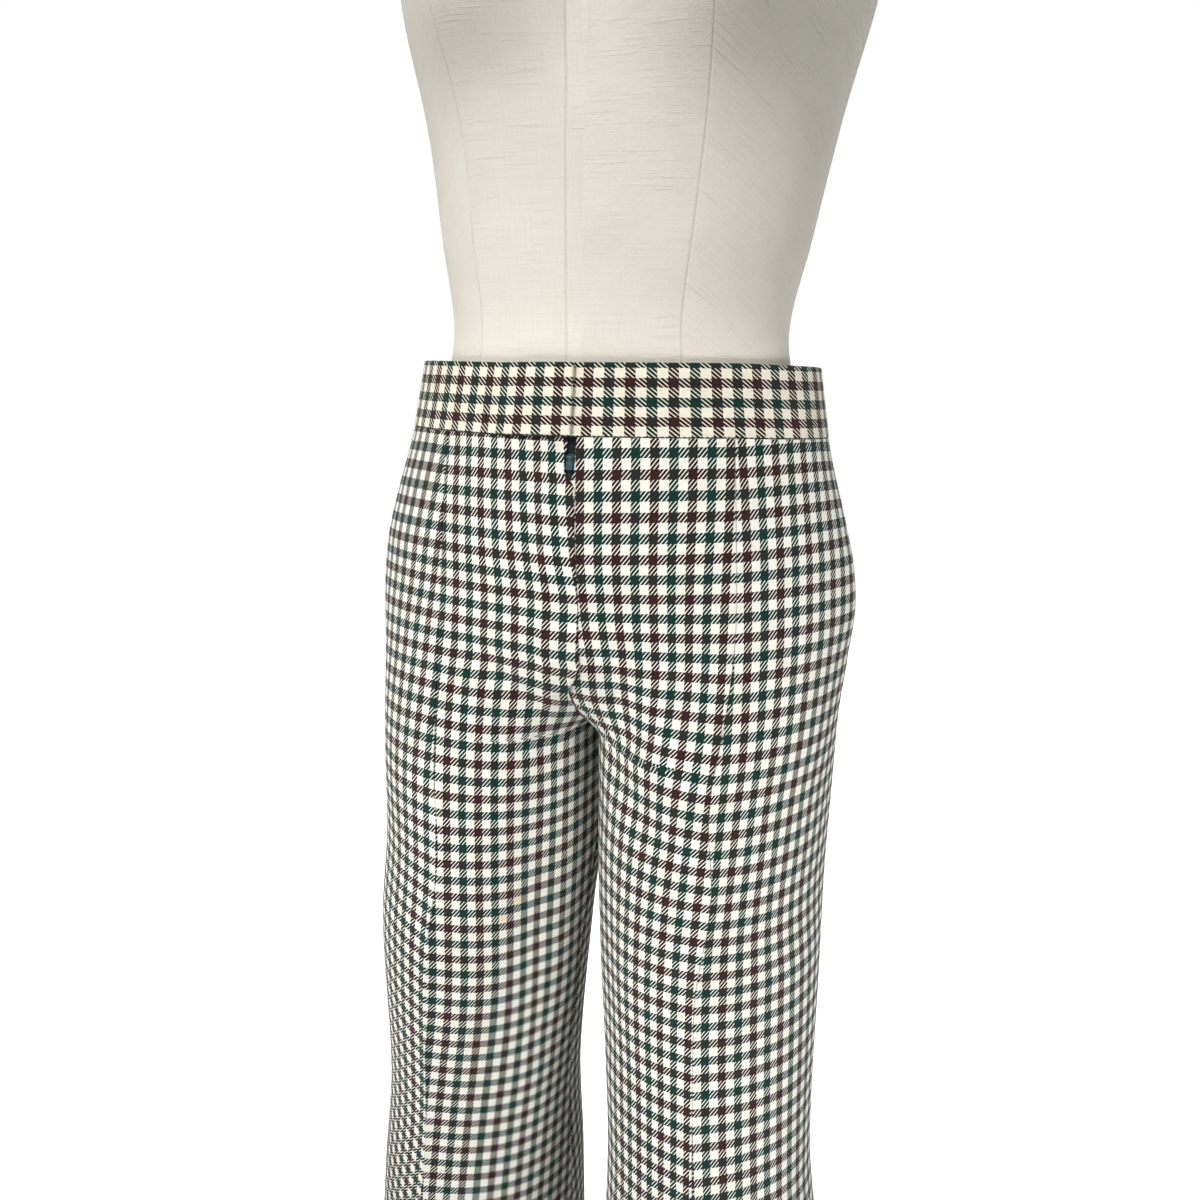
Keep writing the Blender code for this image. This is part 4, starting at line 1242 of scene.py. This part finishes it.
def wool_check(name, cream):
    """Cream wool twill with a burgundy and green check, woven thread by thread, with painted shade in the
    twill's valleys.
    """
    finish = Finish(name, Sheen_Weight=0.10, Sheen_Roughness=0.5, Specular_IOR_Level=0.12)
    uv, across, along = finish.cut_places()
    wobble = (finish.noise(uv, 260.0, 2.0) - 0.5) * STRIPE_STRAY
    threads = (finish.noise(uv, 2300.0, 1.0) - 0.5) * TWILL_STRAY
    warp_masks = stripes(finish, across, CHECK_ACROSS, wobble)
    weft_masks = stripes(finish, along, CHECK_ALONG, wobble)
    blotch = finish.noise(uv, 38.0, 3.0)
    nap = finish.noise(uv, 1500.0, 3.0, 0.65)
    aged = tuple(c * k for c, k in zip(cream, AGED))
    pale = finish.mix(blotch.step(0.40, 0.75), cream, aged)
    place = finish.place()
    for stain in STAINS:
        inputs = {0: place, 1: (stain.x, stain.y, stain.z)}
        away = finish.node("ShaderNodeVectorMath", {"operation": "DISTANCE"}, inputs, 1)
        near = (away / stain.radius + (blotch - 0.5) * STAIN_RAGGED).step(1.0, 0.3)
        pale = finish.mix(near * STAIN_SHARE, pale, STAIN)
    slant = (along - across * TWILL_RISE + threads) / TWILL_PITCH
    line = (slant.fraction() - 0.5).size()
    warp_on = warp_masks[0] + warp_masks[1]
    warp_top = line.step(TWILL_DARK + TWILL_SOFT, TWILL_DARK - TWILL_SOFT)
    light = 0.50 - TWILL_DARK
    weft_top = (line + warp_on * -WEFT_COVERED).step(light - TWILL_SOFT, light + TWILL_SOFT)
    colour = pale
    for masks, top in ((warp_masks, warp_top), (weft_masks, weft_top)):
        for mask, dye in zip(masks, (BURGUNDY, GREEN)):
            colour = finish.mix(mask * top, colour, dye)
    shade = (NAP_LEVEL + nap * NAP_RANGE).smaller(1.0)
    # Painted shade: the colour darkens in the valleys between the twill's ridges, where the relief is
    # lowest
    twill_valley_shade = 1 - (line - 0.25).size().step(VALLEY_SHADE_WIDTH, 0.0) * VALLEY_PAINTED_SHADE
    colour = finish.shaded(colour, shade * twill_valley_shade)
    dark = (warp_on + weft_masks[0] + weft_masks[1]).smaller(1.0)
    finish.set(Base_Color=colour, Roughness=0.94 - dark * 0.10)
    relief = (line - 0.25).size().step(0.0, 0.22) * 0.7 + nap * 0.5
    return finish.bump(relief, WOOL_RELIEF)


def linen_cover():
    """Natural linen: plain weave with slubs both ways, with painted shade in the seams' grooves and between
    the weave's threads.
    """
    finish = Finish("form_linen_weave", Sheen_Weight=0.05, Specular_IOR_Level=0.15)
    uv, across, up = finish.cut_places()
    waver = finish.noise(uv, 30.0, 2.0)
    weave_across = ((across + waver * LINEN_WAVER) / LINEN_PITCH).fraction()
    weave_up = ((up + waver * LINEN_WAVER) / LINEN_PITCH).fraction()
    ribs = (weave_across - 0.5).size() + (weave_up - 0.5).size()
    long_slub = finish.noise(finish.vector(across * 26.0, up * 900.0 + waver * 2.0), 1.0, 3.0, 0.55)
    short_slub = finish.noise(finish.vector(across * 95.0, up * 700.0, 3.0), 1.0, 2.0, 0.5)
    warp_slub = finish.noise(finish.vector(across * 800.0, up * 40.0, 7.0), 1.0, 3.0, 0.55)
    thick = long_slub.step(0.60, 0.72).larger(short_slub.step(0.68, 0.80))
    thick = thick.larger(warp_slub.step(0.66, 0.80) * 0.8)
    thread = (long_slub - 0.5) * 0.9 + (warp_slub - 0.5) * 0.7
    seam = finish.node("ShaderNodeAttribute", {"attribute_name": "seam"}, None, 2)
    patchy = finish.noise(uv, 11.0, 3.0)
    base = finish.mix(patchy.step(0.3, 0.75), LINEN, tuple(c * 0.94 for c in LINEN))
    colour = finish.mix((thread + 0.10).larger(0.0) * 0.38, base, LINEN_DARK)
    # Painted shade: the linen darkens in the hollows between the weave's threads, where the relief is
    # lowest
    colour = finish.mix((1 - ribs).larger(0.0) * 0.16, colour, LINEN_DARK)
    colour = finish.mix(thick * 0.14, colour, tuple(min(1.0, c * 1.12) for c in LINEN))
    # Painted shade: the linen darkens in the seams' grooves
    colour = finish.mix(seam * 0.30, colour, LINEN_DARK)
    grain = finish.noise(uv, 900.0, 3.0, 0.7)
    colour = finish.mix((grain - 0.45).larger(0.0) * 0.55, colour, LINEN_DARK)
    relief = ribs * 0.30 + thick * 0.4 + thread * 0.45 + grain * 0.9
    finish.set(Base_Color=colour, Roughness=0.9)
    return finish.bump(relief, LINEN_RELIEF)


def zip_tape_weave():
    """Dark herringbone zip tape, with painted highlight on its ribs' ridges."""
    finish = Finish("zip_tape_weave", Specular_IOR_Level=0.3)
    _, across, up = finish.cut_places()
    ribs = ((across.size() + up * TAPE_RIB_SLANT) / TAPE_RIB_PITCH).fraction()
    ridge = (ribs - 0.5).size()
    # Painted highlight: the ribs are lighter on their ridges, where the relief is highest
    colour = finish.mix(ridge * 0.8, TAPE, tuple(c * 2.6 for c in TAPE))
    finish.set(Base_Color=colour, Roughness=0.85)
    return finish.bump(ridge, TAPE_RELIEF)


def coil_plastic():
    """Dark coil of the zip."""
    finish = Finish("zip_coil", Specular_IOR_Level=0.5)
    spots = finish.noise(finish.place(), 1800.0, 2.0)
    colour = finish.mix(spots, TAPE, tuple(c * 1.8 for c in TAPE))
    finish.set(Base_Color=colour, Roughness=0.35 + spots * 0.2)
    return finish.material


def teal_enamel():
    """Painted slider and tab, rubbed in scattered patches."""
    finish = Finish("zip_enamel", Coat_Weight=0.2)
    place = finish.place()
    spots = finish.noise(place, 900.0, 4.0, 0.6)
    rub = finish.noise(place, 420.0, 3.0).step(0.60, 0.72)
    colour = finish.mix(rub * 0.5, TEAL, (0.16, 0.24, 0.25))
    finish.set(Base_Color=colour, Metallic=0.35 + rub * 0.4, Roughness=0.34 + spots * 0.22)
    return finish.bump(spots, 0.00005)


def stand_lacquer(name, colour, metallic):
    """Satin lacquer with a faint orange peel, for the stand and the neck cap."""
    finish = Finish(name, Coat_Weight=0.15, Metallic=metallic)
    place = finish.place()
    peel = finish.noise(place, 420.0, 2.0)
    cloud = finish.noise(place, 14.0, 4.0)
    shade = finish.mix(cloud.step(0.3, 0.8), colour, tuple(c * 0.90 for c in colour))
    finish.set(Base_Color=shade, Roughness=0.32 + cloud * 0.18)
    return finish.bump(peel, 0.00004)


def floor_finish():
    """Plain pale floor that glows a little, so that it stays nearly white far away."""
    finish = Finish("floor_pale", Specular_IOR_Level=0.1, Roughness=0.9, Emission_Strength=FLOOR_GLOW)
    finish.set(Emission_Color=(1.0, 1.0, 1.0))
    cloud = finish.noise(finish.place(), 1.5, 2.0)
    finish.set(Base_Color=finish.mix(cloud, (0.93, 0.93, 0.93), (0.90, 0.90, 0.90)))
    return finish.material


def backdrop_finish():
    """Plain white backdrop."""
    finish = Finish("backdrop_white", Emission_Strength=1.0, Roughness=1.0)
    finish.set(Base_Color=(0.0, 0.0, 0.0), Emission_Color=(1.0, 1.0, 1.0))
    return finish.material


# Stage, light and camera

def make_stage():
    """A pale floor, and a white backdrop all round that only the camera sees."""
    bpy.ops.object.select_all(action="DESELECT")
    bpy.ops.mesh.primitive_circle_add(vertices=96, radius=STAGE_RADIUS, fill_type="NGON")
    floor = bpy.context.active_object
    floor.name = "floor"
    floor.data.materials.append(floor_finish())
    floor.visible_diffuse = False
    bpy.ops.mesh.primitive_uv_sphere_add(segments=64, ring_count=32, radius=STAGE_RADIUS)
    backdrop = bpy.context.active_object
    backdrop.name = "backdrop"
    backdrop.data.materials.append(backdrop_finish())
    for kind in ("diffuse", "glossy", "transmission", "shadow"):
        setattr(backdrop, "visible_" + kind, False)


def make_light(row):
    """One area light, turned to what it aims at."""
    light = bpy.data.lights.new(row.name, "AREA")
    light.shape = "RECTANGLE"
    light.size, light.size_y = row.size
    light.energy = row.power
    light.spread = math.radians(row.spread)
    light.color = row.colour
    made = bpy.data.objects.new(row.name, light)
    bpy.context.scene.collection.objects.link(made)
    made.location = row.place
    made.rotation_euler = (Vector(row.aim) - Vector(row.place)).to_track_quat("-Z", "Y").to_euler()


def make_lights():
    """The lights of the table, and weak light all round."""
    for row in LIGHTS:
        make_light(row)
    world = bpy.data.worlds.new("white_room")
    world.use_nodes = True
    world.node_tree.nodes["Background"].inputs["Color"].default_value = (1.0, 1.0, 1.0, 1.0)
    world.node_tree.nodes["Background"].inputs["Strength"].default_value = WORLD_LIGHT
    bpy.context.scene.world = world
    bpy.context.scene.view_settings.view_transform = "Standard"
    bpy.context.scene.view_settings.look = "None"


def make_camera():
    """The photo's view: just above the waist, from the wearer's left, looking down."""
    turn, pitch, roll = (math.radians(a) for a in (CAMERA_TURN, CAMERA_PITCH, CAMERA_ROLL))
    forward = Vector(
        (-math.sin(turn) * math.cos(pitch), math.cos(turn) * math.cos(pitch), -math.sin(pitch))
    )
    right = Vector((math.cos(turn), math.sin(turn), 0))
    up = right.cross(forward)
    rolled_right = right * math.cos(roll) + up * math.sin(roll)
    rolled_up = up * math.cos(roll) - right * math.sin(roll)
    camera = bpy.data.cameras.new("camera")
    camera.sensor_width = CAMERA_SENSOR
    camera.lens = CAMERA_LENS
    camera.clip_start = 0.01
    made = bpy.data.objects.new("camera", camera)
    bpy.context.scene.collection.objects.link(made)
    matrix = Matrix((rolled_right, rolled_up, -forward)).transposed().to_4x4()
    matrix.translation = (
        math.sin(turn) * CAMERA_AWAY + CAMERA_ASIDE * math.cos(turn),
        -math.cos(turn) * CAMERA_AWAY + CAMERA_ASIDE * math.sin(turn),
        CAMERA_HEIGHT,
    )
    made.matrix_world = matrix
    bpy.context.scene.camera = made


def refinish(node, material):
    """A solid that stays as it is gets its finish."""
    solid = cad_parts[node]
    solid.data.materials.clear()
    solid.data.materials.append(material)


wool = wool_check("checked_wool_twill", CREAM)
for leg_side in (+1, -1):
    rows_at_seam = None
    for cut_panel in PANELS:
        rows_at_seam = make_panel(leg_side, cut_panel, wool, rows_at_seam)
make_waistband(wool_check("waistband_wool_twill", BAND_CREAM))
make_tape(zip_tape_weave())
make_teeth(coil_plastic())
make_form(linen_cover())
enamel = teal_enamel()
refinish("zip_slider", enamel)
refinish("zip_pull_tab", enamel)
lacquer = stand_lacquer("stand_lacquer", STAND, 0.0)
for stand_node in ("form_neck_cap", "pole_collar", "stand_pole", "stand_base"):
    refinish(stand_node, lacquer)

make_stage()
make_lights()
make_camera()
